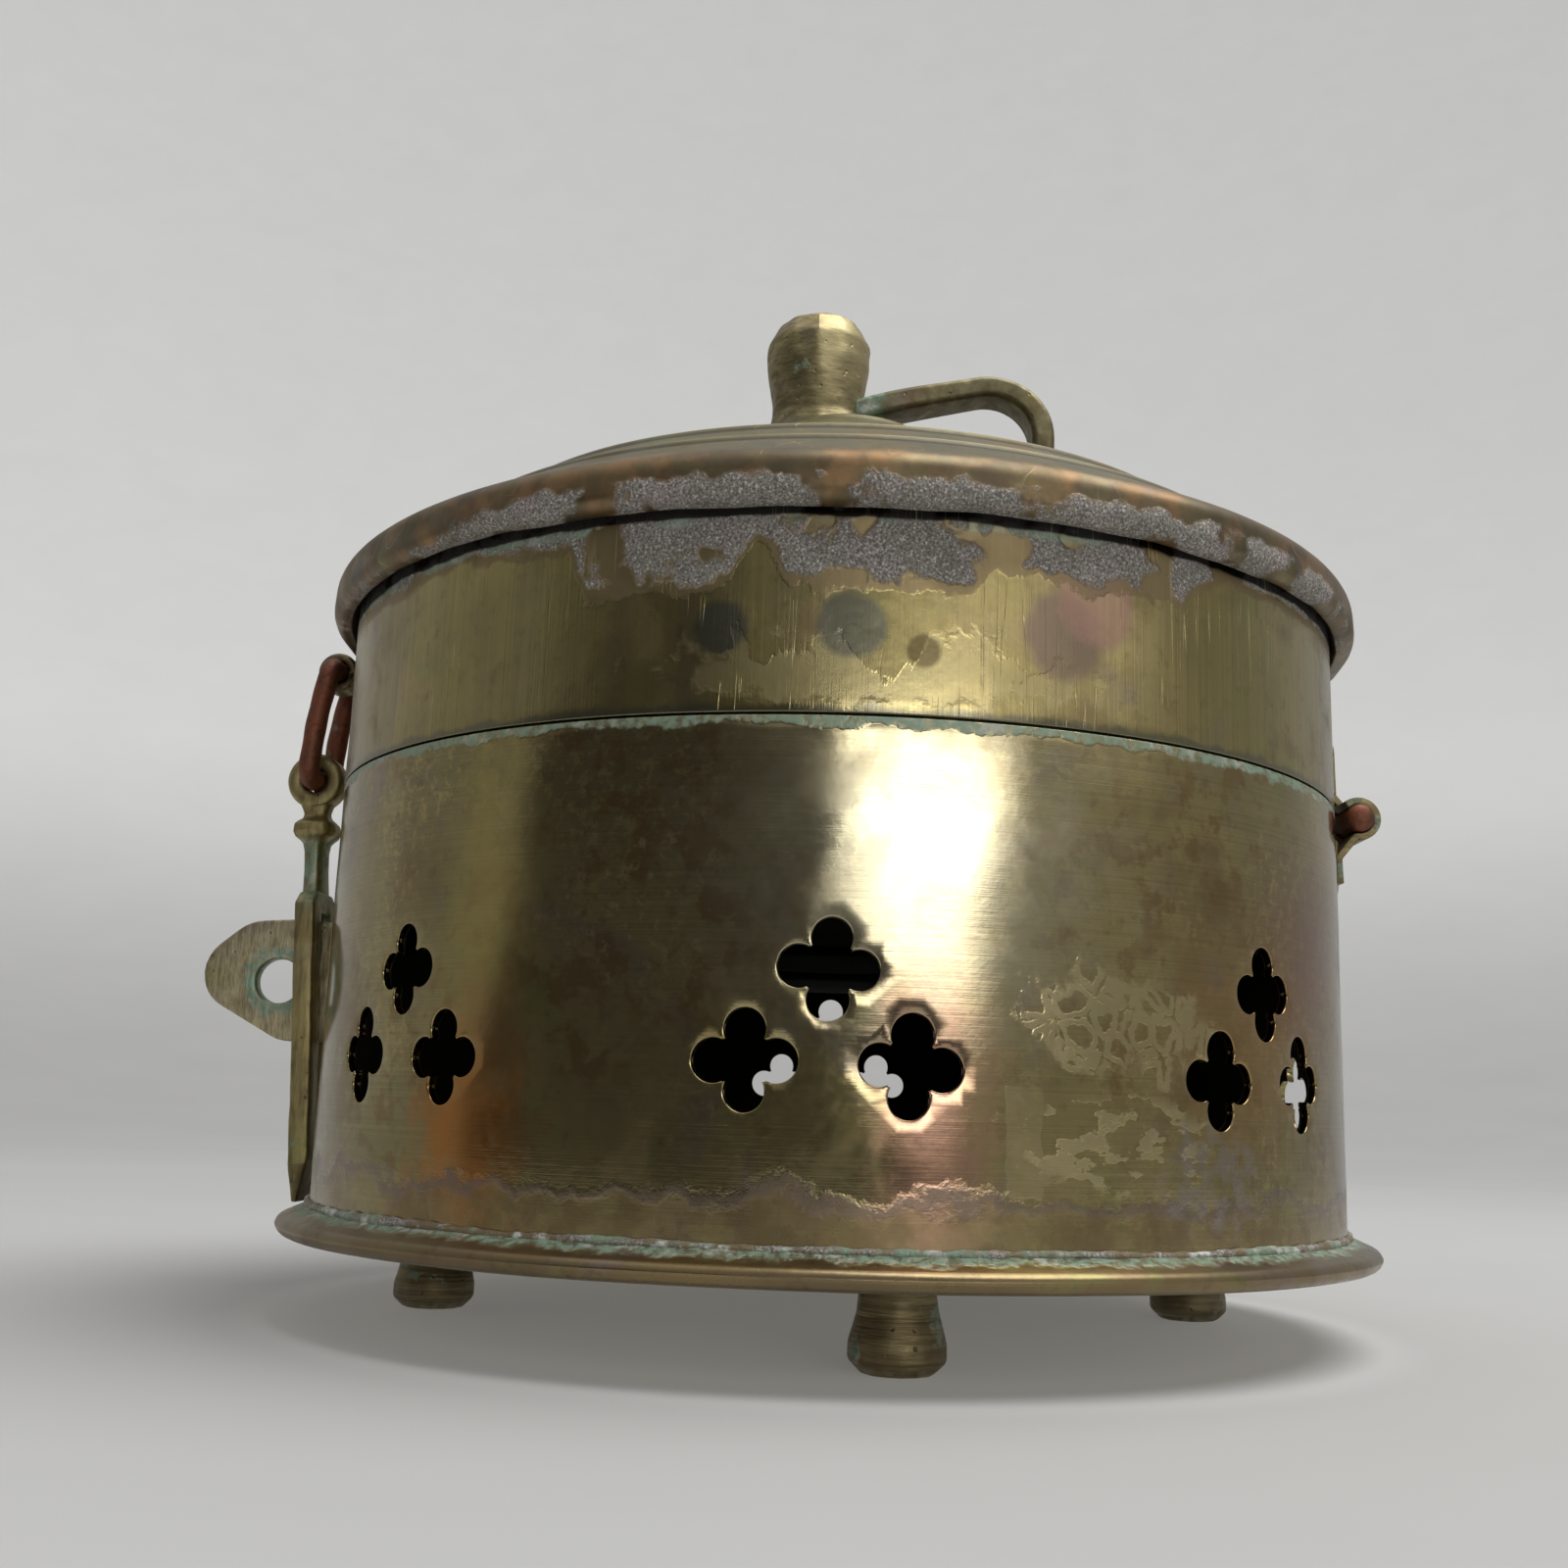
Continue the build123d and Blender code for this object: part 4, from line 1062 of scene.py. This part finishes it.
def pierced_wall_finish():
    """The wall: brushed round, stained round its holes, with a tide line above the flange,
    lacquer left in blotches, verdigris along its top edge and its foot, a painted highlight where
    the window light falls, and painted shade, nearly black, on its inner face."""
    f = Finish("wall_brass")
    colour, middle, fine = old_brass(f)
    drop = f.height - JOINT
    brush = f.cloud((40, 40, 0.16), detail=4, roughness=0.7)
    wear = f.cloud((70, 70, 0.5), detail=2)
    colour = f.mix(f.ease(brush, 0.30, 0.75) * 0.35, colour, UMBER)
    freckles = f.ease(f.cloud(1.0, detail=6, roughness=0.75), 0.51, 0.59)
    freckles = freckles * f.ease(f.cloud(16), 0.40, 0.58)
    colour = f.mix(freckles * 0.5, colour, (0.50, 0.40, 0.17))
    rust = f.ease(f.cloud(4.5, detail=6, roughness=0.65), 0.50, 0.59)
    rust = rust * f.ease(f.cloud(22), 0.46, 0.58)
    colour = f.mix(rust * 0.55, colour, (0.22, 0.13, 0.055))
    # Painted highlight: a pale patch where the window's reflection falls on the wall.
    colour = f.mix(f.spot(7, 44, 13, 13, soft=0.9) * 0.7, colour, (0.60, 0.56, 0.40))
    specks = f.ease(f.cloud(1.3, detail=5, roughness=0.7), 0.56, 0.62)
    colour = f.mix(f.spot(-16.5, 40, 9, 8, rag=1.4, soft=0.6) * specks * 0.5, colour, PALE)
    for arc, height, wide, tall, rag, soft, share, tint in (
        (-33, 38, 4.5, 15, 0.8, 0.8, 0.55, (0.44, 0.36, 0.12)),
        (-34, 20, 6, 8, 0.9, 0.6, 0.95, ORANGE),
        (-32, 29, 3.5, 5, 1.0, 0.8, 0.6, (0.36, 0.21, 0.09)),
        (-43, 43, 4, 5, 0.4, 0.5, 0.4, BROWN),
        (9, 22, 4.0, 12, 0.8, 0.9, 0.7, ROSE),
        (56, 38, 9, 9, 0.6, 0.9, 0.6, (0.24, 0.12, 0.11)),
        (42, 30, 9, 8, 0.6, 0.9, 0.45, (0.38, 0.20, 0.08)),
    ):
        colour = f.mix(f.spot(arc, height, wide, tall, rag, soft) * share, colour, tint)
    blotch = f.maths("ABSOLUTE", f.cells(2.6, "DISTANCE_TO_EDGE") + (f.cloud(1.8) - 0.5) * 0.5 - 0.12)
    leopard = f.spot(26, 30.5, 10, 4.5, rag=1.0, soft=0.15) * f.ease(blotch, 0.14, 0.07)
    worms = f.spot(26, 20.5, 10, 4, rag=0.6) * f.ease(f.cloud((3.4, 3.4, 1.7), detail=5), 0.53, 0.56)
    waver = (f.cloud(2.0, detail=3) - 0.5) * 1.2
    drip = f.ease(f.maths("ABSOLUTE", f.arc - 16.8 + waver), 1.75, 1.55)
    drip = drip * f.ease(f.maths("ABSOLUTE", f.height - 20.5 + waver), 4.7, 4.5)
    lacquer = f.both(f.both(leopard, worms), drip * 0.4)
    colour = f.mix(lacquer * 0.6, colour, (0.50, 0.43, 0.24))
    tide = wall_low[2] + 6.2 + (f.cloud(8, detail=8, roughness=0.66) - 0.5) * 9
    foot = f.ease(f.height - tide, 0.3, -0.3)
    line = f.ease(f.maths("ABSOLUTE", f.height - tide + 0.3), 1.0, 0.1)
    mottled = 0.35 + 0.4 * f.ease(f.cloud(3.0, detail=5), 0.40, 0.60)
    colour = f.mix(foot * mottled, colour, (0.20, 0.145, 0.075))
    colour = f.mix(line * 0.45, colour, (0.20, 0.16, 0.155))
    lilac = f.spot(37, 17.5, 7, 4.5, rag=1.0) * f.ease(f.cloud(1.6, detail=4), 0.42, 0.58)
    colour = f.mix(lilac * 0.45, colour, (0.36, 0.32, 0.32))
    top = f.ease(drop + (f.cloud(3.5, detail=4) - 0.5) * 2.6, -1.1, -0.7)
    corner = f.ease(f.height - wall_low[2] + (f.cloud(4, detail=4) - 0.5) * 3, 2.2, 1.0)
    green = f.both(top * 0.9, corner * f.ease(f.cloud(6), 0.48, 0.60))
    colour, cover = verdigris(f, colour, green)
    marks = f.scratches((50, 50, 0.8), thin=0.008) * f.ease(f.cloud(9), 0.52, 0.64)
    colour = f.mix(marks * 0.22, colour, PALE)
    roughness = 0.05 + 0.07 * brush + 0.10 * f.ease(middle, 0.48, 0.7) + 0.05 * fine
    roughness = roughness + 0.14 * foot + 0.4 * cover + 0.10 * lacquer
    # Painted shade: the wall's inner face is made nearly black, for the shade inside the box.
    painted_inner_shade = f.ease(f.out, RADIUS - 0.65, RADIUS - 0.9)
    colour = f.mix(painted_inner_shade * 0.9, colour, (0.02, 0.016, 0.01))
    roughness = roughness + 0.5 * painted_inner_shade
    relief = brush * 0.12 + fine * 0.25 + wear * 0.06
    relief = relief + cover * 2.0 + lacquer * 0.5 + line * 0.6
    return f.done(colour, roughness, 1.0 - 0.75 * cover, relief, 0.03)


def band_finish():
    """The lid's band: brushed upright, cleaned in leafy patches, with dark drops, a painted golden
    highlight, and the solder of the rolled edge run down it to a ragged border, with a painted
    shadow in the gap under the rolled edge."""
    f = Finish("band_brass")
    colour, middle, fine = old_brass(f)
    drop = EDGE - f.height
    brush = f.cloud((0.22, 0.22, 30), detail=4, roughness=0.7)
    sweep = f.cloud((7, 7, 60), detail=2)
    colour = f.mix(f.ease(sweep, 0.42, 0.62) * 0.45, colour, (0.40, 0.34, 0.13))
    colour = f.mix(f.ease(brush, 0.35, 0.75) * 0.3, colour, UMBER)
    leafy = f.ease(f.cloud(6.5, detail=5, warp=0.8) + (f.height - 62.5) * -0.035, 0.50, 0.53)
    clean = f.spot(3, 60.5, 17, 3.6, rag=1.0, soft=0.15) * leafy
    colour = f.mix(clean * 0.6, colour, (0.50, 0.43, 0.22))
    # Painted highlight: a golden patch where the band's highlight falls.
    colour = f.mix(f.spot(17, 64, 8, 6, soft=0.8) * 0.5, colour, (0.42, 0.33, 0.14))
    for arc, height, size, tint in (
        (1.1, 64.2, 3.0, SLATE),
        (-10.5, 64, 2.4, SLATE),
        (20.5, 64.6, 4.0, (0.22, 0.16, 0.13)),
        (7.5, 62.2, 1.5, UMBER),
        (24, 68, 4, (0.36, 0.22, 0.17)),
    ):
        colour = f.mix(f.spot(arc, height, size, size, rag=0.25, soft=0.2) * 0.75, colour, tint)
    run = f.ease(f.maths("ABSOLUTE", f.arc + 17), 9.5, 6.5)
    run = f.both(run, f.ease(f.maths("ABSOLUTE", f.arc - 4), 11, 8))
    run = f.both(run, f.ease(f.maths("ABSOLUTE", f.arc - 25), 14, 8) * 0.6)
    run = f.both(run, f.ease(f.cloud(17, detail=1), 0.50, 0.62) * 0.6)
    border = 1.4 + 4.6 * run + (f.cloud(3.2, detail=6, roughness=0.6) - 0.5) * 6
    front = f.ease(f.maths("ABSOLUTE", f.arc - 3), 50, 26)
    edge = f.ease(drop - border * (0.35 + 0.65 * front), 0.35, -0.35)
    halo = f.ease(drop - border * (0.35 + 0.65 * front) - 1.1, 0.3, -0.3)
    colour = f.mix(halo * 0.7, colour, (0.27, 0.20, 0.115))
    specked = edge * f.ease(f.cloud(5.0, detail=3), 0.40, 0.50)
    colour, grain = solder(f, colour, specked)
    lip = f.ease(drop + (f.cloud(4, detail=3) - 0.5) * 1.5, 1.3, 0.8)
    # Painted shadow: a near-black strip at the band's top, for the shade in the gap under the rolled
    # edge.
    gap = f.ease(drop + (f.cloud(5, detail=3) - 0.5) * 1.0, 0.55, 0.25)
    low = f.ease(f.height - band_low[2] + (f.cloud(3, detail=4) - 0.5) * 2, 0.9, 0.3)
    colour = f.mix(low * 0.6, colour, SLATE)
    colour, cover = verdigris(f, colour, lip * f.ease(f.cloud(9), 0.45, 0.6) * 0.8)
    colour = f.mix(gap, colour, (0.015, 0.012, 0.01))
    marks = f.scratches((1.0, 1.0, 40), thin=0.012) * f.ease(f.cloud(10), 0.50, 0.62)
    colour = f.mix(marks * 0.3, colour, PALE)
    roughness = 0.10 + 0.14 * brush + 0.16 * f.ease(middle, 0.45, 0.7)
    roughness = roughness + 0.35 * specked + 0.20 * halo + 0.04 * clean
    relief = brush * 0.3 + fine * 0.25 + specked * (1.6 + 2.2 * grain)
    relief = relief + halo * 0.5 - marks * 0.4 - clean * 0.3
    return f.done(colour, roughness, 1.0 - 0.6 * specked - 0.4 * cover, relief, 0.045)


def top_finish():
    """The lid's top: spun round, coppery along the rolled edge, with solder grains under its lip,
    a verdigris stripe behind the first step, painted highlights on the step crests and painted
    shade just outside them."""
    f = Finish("lid_brass")
    colour, middle, fine = old_brass(f, base=(0.15, 0.135, 0.08), bright=(0.235, 0.205, 0.11))
    rise = f.height - EDGE
    spin = f.maths("FRACT", (f.out + f.cloud(12) * 2) * 1.6)
    colour = f.mix(f.maths("ABSOLUTE", spin - 0.5) * 0.35, colour, UMBER)
    rim = f.ease(rise, 6.6, 5.2)
    warm = f.mix(f.ease(f.cloud(5, detail=4), 0.40, 0.62), (0.14, 0.105, 0.07), (0.31, 0.19, 0.10))
    colour = f.mix(rim * (0.35 + 0.5 * f.ease(f.cloud(3.5, detail=5), 0.42, 0.58)), colour, warm)
    front = f.ease(f.maths("ABSOLUTE", f.arc - 12), 62, 40)
    border = 0.2 + 2.2 * front + (f.cloud(3.0, detail=5) - 0.5) * 3.5
    edge = f.ease(rise - border, 0.4, -0.4) * f.ease(f.cloud(6, detail=3), 0.38, 0.48)
    colour, grain = solder(f, colour, edge)
    step = f.ease(f.maths("ABSOLUTE", rise - 6.5), 0.5, 0.1) * f.ease(f.cloud(8), 0.5, 0.6)
    seat = f.ease(f.out + (f.cloud(2.5) - 0.5) * 4, 9.5, 7.0) * f.ease(f.cloud(3), 0.4, 0.55)
    colour, cover = verdigris(f, colour, f.both(step, seat) * 0.8)
    marks = f.scratches((4, 4, 4), thin=0.012) * f.ease(f.cloud(14), 0.5, 0.6)
    colour = f.mix(marks * 0.4, colour, PALE)
    for inset in STEP_INSETS:
        # Painted highlight along each step's crest, and painted shade, nearly black, just outside it
        # where the step drops.
        crest = f.ease(f.maths("ABSOLUTE", f.out - (RADIUS - inset) + 0.15), 0.45, 0.1)
        groove = f.ease(f.maths("ABSOLUTE", f.out - (RADIUS - inset) - 0.8), 0.6, 0.1)
        colour = f.mix(crest * 0.6, colour, (0.55, 0.48, 0.30))
        colour = f.mix(groove * 0.7, colour, (0.03, 0.025, 0.015))
    roughness = 0.33 + 0.16 * f.ease(middle, 0.4, 0.7) + 0.1 * fine + 0.28 * edge + 0.2 * cover
    relief = fine * 0.5 + middle * 1.2 + edge * (1.2 + 2.4 * grain) + cover * 1.5 - marks * 0.4
    return f.done(colour, roughness, 1.0 - 0.6 * edge - 0.4 * cover, relief, 0.05)


def flange_finish():
    """The bottom plate: brown and smooth-worn on its rounded edge, greener towards the wall."""
    f = Finish("flange_brass")
    colour, middle, fine = old_brass(f, base=(0.21, 0.16, 0.09), bright=(0.30, 0.22, 0.11), brown=0.7)
    reach = f.out - RADIUS
    corner = f.ease(reach + (f.cloud(3.5, detail=4) - 0.5) * 3.4, 2.1, 1.0)
    corner = corner * f.ease(f.out, RADIUS - 2, RADIUS)
    corner = corner * f.ease(f.height, plate_low[2] + 0.6, plate_low[2] + 1.2)
    under = f.ease(f.height, plate_low[2] + 0.5, plate_low[2])
    colour = f.mix(under * 0.4, colour, (0.20, 0.17, 0.10))
    colour, cover = verdigris(f, colour, corner)
    shine = f.ease(f.cloud(30), 0.45, 0.6)
    roughness = 0.20 + 0.22 * middle + 0.12 * fine + 0.3 * cover - 0.08 * shine
    relief = middle * 1.0 + fine * 0.5 + cover * 2.0
    return f.done(colour, roughness, 1.0 - 0.7 * cover, relief, 0.05)


def crust_finish():
    """The solder bead in the flange's corner, furred with verdigris and white salts."""
    f = Finish("corner_crust")
    colour, grain = solder(f, (0.22, 0.17, 0.10), f.ease(f.cloud(3), 0.42, 0.62))
    colour, cover = verdigris(f, colour, f.ease(f.cloud(6, detail=4), 0.46, 0.58))
    white = f.ease(f.cloud(2.4, detail=5), 0.56, 0.66)
    colour = f.mix(white, colour, (0.60, 0.61, 0.58))
    return f.done(colour, 0.62 + 0.3 * cover, 0.55 - 0.5 * cover, grain * 2 + f.cloud(1.0) * 2, 0.06)


def cast_finish(name, file_size, green=0.5, bright=GOLD, base=OLIVE):
    """Cast and filed brass: file marks of the given size, darker hollows, and green in patches.
    Returns the finish, its colour, and the rest of what done takes."""
    f = Finish(name)
    colour, _, fine = old_brass(f, base=base, bright=bright, brown=0.6)
    filed = f.cloud(file_size, detail=3, roughness=0.65)
    colour = f.mix(f.ease(filed, 0.40, 0.66) * 0.5, colour, UMBER)
    colour = f.mix(f.ease(filed, 0.42, 0.30) * 0.35, colour, PALE)
    patch = f.ease(f.cloud(5.0, detail=4), 0.66 - 0.16 * green, 0.72 - 0.14 * green)
    colour, cover = verdigris(f, colour, patch * 0.85)
    pores = f.ease(f.cells(1.6), 0.16, 0.05)
    colour = f.mix(pores * 0.6, colour, UMBER)
    roughness = 0.32 + 0.22 * filed + 0.12 * fine + 0.3 * cover
    relief = filed * 1.4 + fine * 0.5 + cover * 1.2 - pores * 1.0
    return f, colour, {"roughness": roughness, "metallic": 1.0 - 0.7 * cover, "height": relief}


def knob_finish():
    """The knob: filed round, with a painted golden highlight on its +Y side, where the window light
    falls.
    """
    tones = {"bright": (0.50, 0.43, 0.21), "base": (0.27, 0.23, 0.12)}
    f, colour, rest = cast_finish("knob_brass", (2.6, 2.6, 0.8), green=0.0, **tones)
    # Painted highlight: the knob's +Y side is made paler, where the window light falls.
    worn = f.ease(f.y - KNOB_Y + (f.cloud(2.0) - 0.5) * 3, -0.8, 1.2) * f.ease(f.height - SEAT, 4, 9)
    colour = f.mix(worn * 0.5, colour, PALE)
    foot = f.ease(f.height - SEAT + (f.cloud(1.6) - 0.5) * 2, 2.0, 0.6)
    colour = verdigris(f, colour, foot * 0.5)[0]
    return f.done(colour, depth=0.07, **rest)


def loop_finish():
    """The strap loop: olive and smooth-filed, with verdigris where it is brazed to the knob, and painted
    shade close to the lid.
    """
    tones = {"bright": (0.34, 0.29, 0.15), "base": (0.20, 0.18, 0.11)}
    f, colour, rest = cast_finish("loop_brass", 2.2, green=0.1, **tones)
    braze = f.ease(f.y + (f.cloud(1.4) - 0.5) * 2, 5.4, 4.0)
    colour = verdigris(f, colour, braze)[0]
    # Painted shade: darker close to the lid.
    under = f.ease(f.height - SEAT, 4.0, 0.0)
    colour = f.mix(under * 0.4, colour, UMBER)
    return f.done(colour, depth=0.05, **rest)


def lug_finish():
    """The lug: pale filed brass, ringed with verdigris round its hole."""
    tones = {"bright": (0.66, 0.57, 0.36), "base": (0.48, 0.42, 0.27)}
    f, colour, rest = cast_finish("lug_brass", (3.0, 0.5, 3.0), green=0.2, **tones)
    across = f.y + RADIUS + LUG_HOLE_OUT
    up = f.height - (JOINT - LUG_HOLE_DROP)
    reach = f.maths("SQRT", across * across + up * up)
    ring = f.ease(reach + (f.cloud(2.0, detail=3) - 0.5) * 2.5, 4.6, 3.6)
    colour = verdigris(f, colour, ring)[0]
    return f.done(colour, depth=0.06, **rest)


def hasp_finish():
    """The hasp: filed along its rail, green on its neck and round its collar."""
    f, colour, rest = cast_finish("hasp_brass", (1.0, 1.0, 6.0), green=0.5)
    below = LINK_FOOT[1] - f.height
    neck = f.ease(below, 6.6, 8.0) * f.ease(below + (f.cloud(2) - 0.5) * 4, 17, 13)
    colour = verdigris(f, colour, neck * 0.75)[0]
    return f.done(colour, depth=0.06, **rest)


def foot_finish():
    """The feet: dark turned brass with patches of verdigris and a scuffed pad."""
    tones = {"bright": (0.26, 0.21, 0.11), "base": (0.17, 0.145, 0.09)}
    f, colour, rest = cast_finish("foot_brass", (8, 8, 0.4), green=0.55, **tones)
    scuff = f.ease(f.height, 1.2, 0.2) * f.ease(f.cloud(1.2), 0.45, 0.6)
    colour = f.mix(scuff * 0.7, colour, (0.30, 0.26, 0.20))
    return f.done(colour, depth=0.07, **rest)


def leaf_finish():
    """The hinge leaves and the lid's eye: dark sheet, soldered and a little green at its edges."""
    tones = {"bright": (0.33, 0.27, 0.13), "base": (0.20, 0.165, 0.09)}
    f, colour, rest = cast_finish("leaf_brass", (2, 2, 0.6), green=0.45, **tones)
    return f.done(colour, depth=0.05, **rest)


def copper_finish():
    """Copper wire: brown-red and dull, darker in hollows, with a greenish bloom."""
    f = Finish("old_copper")
    middle = f.cloud(2.6, detail=4)
    fine = f.cloud(0.5, detail=3)
    colour = f.mix(f.ease(middle, 0.36, 0.62), (0.17, 0.075, 0.05), COPPER)
    colour = f.mix(f.ease(fine, 0.52, 0.7) * 0.5, colour, (0.07, 0.04, 0.03))
    bloom = f.ease(f.cloud(4.0), 0.60, 0.68) * 0.5
    colour, cover = verdigris(f, colour, bloom)
    roughness = 0.45 + 0.25 * middle + 0.2 * cover
    return f.done(colour, roughness, 0.9 - 0.6 * cover, middle * 1.5 + fine * 0.8, 0.06)


def inner_finish():
    """The collar, tray and cups: spun brass that was tarnished evenly, with water marks, and painted
    shade, nearly black, on faces that look down below the joint."""
    f = Finish("inner_brass")
    colour, middle, fine = old_brass(f, base=(0.34, 0.27, 0.12), bright=(0.52, 0.42, 0.19), brown=0.35)
    spin = f.cloud((14, 14, 0.3), detail=3)
    ring = f.ease(f.maths("ABSOLUTE", f.cloud(9, detail=2) - 0.5), 0.02, 0.0)
    colour = f.mix(ring * 0.35, colour, BROWN)
    colour = f.mix(f.ease(spin, 0.4, 0.7) * 0.25, colour, UMBER)
    level = f.split(f.node("ShaderNodeTexCoord", output="Normal"))[2]
    # Painted shade: nearly black where a face below the joint looks down.
    painted_underside_shade = f.ease(f.height, JOINT - 4.0, JOINT - 6.5) * f.ease(level, 0.5, -0.5)
    colour = f.mix(painted_underside_shade * 0.97, colour, (0.012, 0.01, 0.006))
    roughness = 0.28 + 0.2 * middle + 0.1 * spin + 0.5 * painted_underside_shade
    return f.done(colour, roughness, 1.0, spin * 0.5 + fine * 0.4, 0.03)


def floor_finish():
    """A plain pale matt floor that glows softly where it rises, with painted light close under the
    box: paler there, and glowing, to lift the box's shadow."""
    f = Finish("pale_floor")
    pale = f.mix(f.cloud(90, detail=4), (0.50, 0.50, 0.495), (0.57, 0.57, 0.565))
    # Painted light: the floor is paler close under the box, to lift its shadow.
    pale = f.mix(f.ease(f.out, 66, 50), pale, (0.80, 0.80, 0.78))
    glow = f.mix(f.ease(f.height, -60, 420), (0, 0, 0), (0.33, 0.33, 0.325))
    # Painted light: the floor glows close under the box, to lift its shadow.
    glow = f.mix(f.ease(f.out, 68, 48), glow, (0.12, 0.12, 0.115))
    return f.done(pale, 0.9, 0.0, glow=glow)


# ---- putting it together ----------------------------------------------------
def place_piece(piece, body, slot, material, *nodes):
    """Gives a piece its finish, its body and the CAD nodes that it stands for."""
    piece.data.materials.clear()
    piece.data.materials.append(material)
    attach(piece, body)
    if nodes:
        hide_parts(*nodes)


def assemble():
    """Makes every piece, with its finish, on its body. Some pieces share one finish."""
    wall, flange, crust = pierced_wall_finish(), flange_finish(), crust_finish()
    leaf, copper, inner, foot_brass = leaf_finish(), copper_finish(), inner_finish(), foot_finish()
    place_piece(base_wall(), "base", "wall_brass", wall, "base_wall")
    place_piece(base_plate(), "base", "wall_brass", flange, "base_plate")
    place_piece(flange_solder(), "base", "wall_brass", crust)
    place_piece(collar_ring(), "base", "inner_brass", inner, "collar_ring")
    place_piece(lock_lug(), "base", "cast_brass", lug_finish(), "lock_lug")
    for number in range(1, 5):
        place_piece(foot(number), "base", "cast_brass", foot_brass, f"foot_{number}")
    near, far = 3.8, 8.5
    lower = hinge_leaf("lower_leaf", -1, [(-far, -near - 0.25), (near + 0.25, far)])
    place_piece(lower, "base", "cast_brass", leaf, "hinge_leaf_base")
    upper = hinge_leaf("upper_leaf", 1, [(-near, near)])
    place_piece(upper, "lid", "cast_brass", leaf, "hinge_leaf_lid")
    place_piece(hinge_pin(), "base", "copper", copper, "hinge_pin")
    place_piece(lid_band(), "lid", "wall_brass", band_finish(), "lid_band")
    place_piece(lid_top(), "lid", "lid_brass", top_finish(), "lid_top")
    place_piece(knob(), "lid", "cast_brass", knob_finish(), "knob")
    place_piece(knob_washer(), "lid", "inner_brass", inner, "knob_washer")
    place_piece(loop_handle(), "lid", "cast_brass", loop_finish(), "loop_handle")
    place_piece(link_eye(), "lid", "cast_brass", leaf, "link_eye")
    place_piece(copper_link(), "link", "copper", copper, "copper_link")
    place_piece(hasp(), "hasp", "cast_brass", hasp_finish(), "hasp")
    place_piece(cup_tray(), "tray", "inner_brass", inner, "cup_tray")
    for number in range(1, 8):
        place_piece(cup(number), f"cup_{number}", "inner_brass", inner, f"cup_{number}")


# ---- floor, light and camera ------------------------------------------------
def stage_floor():
    """The floor in two pieces that meet in one plane: a disc round the box, and a bowl round the
    disc that stays flat for a while and then rises as an ellipse, so that no horizon shows. The
    bowl is for the camera alone: light and reflections pass it."""
    material = floor_finish()
    disc = lathe("floor", np.array([(0, 0), (0.3, 0)]) / MM, 96, closed=False)
    turn = np.linspace(0, math.pi / 2, 40)
    reach = np.concatenate([[0.3, 0.45, 0.6], 0.6 + 2.6 * np.sin(turn[1:])])
    rise = np.concatenate([[0, 0, 0], 4.5 * (1 - np.cos(turn[1:]))])
    bowl = lathe("backdrop", np.stack([reach, rise], 1) / MM, 96, closed=False, crease=180)
    bowl.visible_glossy = bowl.visible_diffuse = bowl.visible_shadow = False
    for sheet in (disc, bowl):
        if sheet.data.polygons[0].normal.z < 0:
            sheet.data.flip_normals()
        sheet.data.materials.append(material)


def sky():
    """The studio's light as a soft surround, by the angle round the box (0 at +X) and above the
    floor: an even room, a bright slanted window that narrows downwards, its softer upper part, and
    a dark flag low down beside it."""
    world = bpy.data.worlds.new("studio")
    bpy.context.scene.world = world
    world.use_nodes = True
    studio = Surround(world.node_tree)
    side, up = studio.side, studio.up
    below = studio.maths("MAXIMUM", 6.8 - up, 0.0)
    left = 9.8 - up * 0.85 + below * below * 0.17
    right = 24.0 + up * 1.2
    window = studio.ease(side - left, -0.4, 1.2) * studio.ease(right - side, -3.0, 6.0)
    window = window * studio.ease(up, 15, 11) * (0.12 + 0.88 * studio.ease(up, 1, 8))
    shade = studio.ease(up, 11, 15) * studio.ease(up, 30, 22)
    room = shade * studio.ease(side, 8, 34) * studio.ease(side, 80, 60)
    flag_top = 13 + 10 * studio.ease(side, -12, -30)
    flag = studio.ease(side - up, -82, -75) * studio.ease(side - left, 1.2, -1.2)
    flag = flag * studio.ease(up - flag_top, 3, -3)
    behind = studio.ease(studio.maths("ABSOLUTE", side), 84, 112)
    overhead = studio.ease(up, 35, 75)
    level = 0.32 + 0.06 * behind + 0.40 * overhead + 0.55 * room
    level = level * (1 - 0.72 * flag) + 4.2 * window
    lamp = studio.node("ShaderNodeBackground", {}, {"Color": (1.0, 0.99, 0.97, 1.0), "Strength": level})
    end = world.node_tree.nodes.new("ShaderNodeOutputWorld")
    world.node_tree.links.new(lamp.socket, end.inputs["Surface"])


def top_light():
    """A soft round light overhead that points at the box's middle."""
    place, aim = Vector((0.1, 0.35, 0.95)), Vector((0, 0, 0.06))
    data = bpy.data.lights.new("top_light", "AREA")
    data.shape, data.size, data.energy = "DISK", 0.8, 6.5
    lamp = bpy.data.objects.new("top_light", data)
    lamp.location = place
    lamp.rotation_euler = (aim - place).to_track_quat("-Z", "Y").to_euler()
    bpy.context.scene.collection.objects.link(lamp)


def camera():
    """The camera: low, close and tilted up, turned and rolled a little."""
    data = bpy.data.cameras.new("camera")
    data.lens, data.sensor_width, data.clip_start = 38.25, 36.0, 0.01
    eye = bpy.data.objects.new("camera", data)
    yaw, pitch, roll = -0.0314, 0.1922, 0.0324
    ahead = Vector((-math.cos(pitch) * math.cos(yaw), math.cos(pitch) * math.sin(yaw), math.sin(pitch)))
    right = ahead.cross(Vector((0, 0, 1))).normalized()
    upward = right.cross(ahead)
    right, upward = (
        math.cos(roll) * right + math.sin(roll) * upward,
        math.cos(roll) * upward - math.sin(roll) * right,
    )
    turn = Matrix((right, upward, -ahead)).transposed()
    eye.matrix_world = Matrix.Translation((0.19707, 0, 0.0226)) @ turn.to_4x4()
    bpy.context.scene.collection.objects.link(eye)
    bpy.context.scene.camera = eye


camera()
assemble()
stage_floor()
sky()
top_light()
bpy.context.scene.view_settings.view_transform = "Standard"
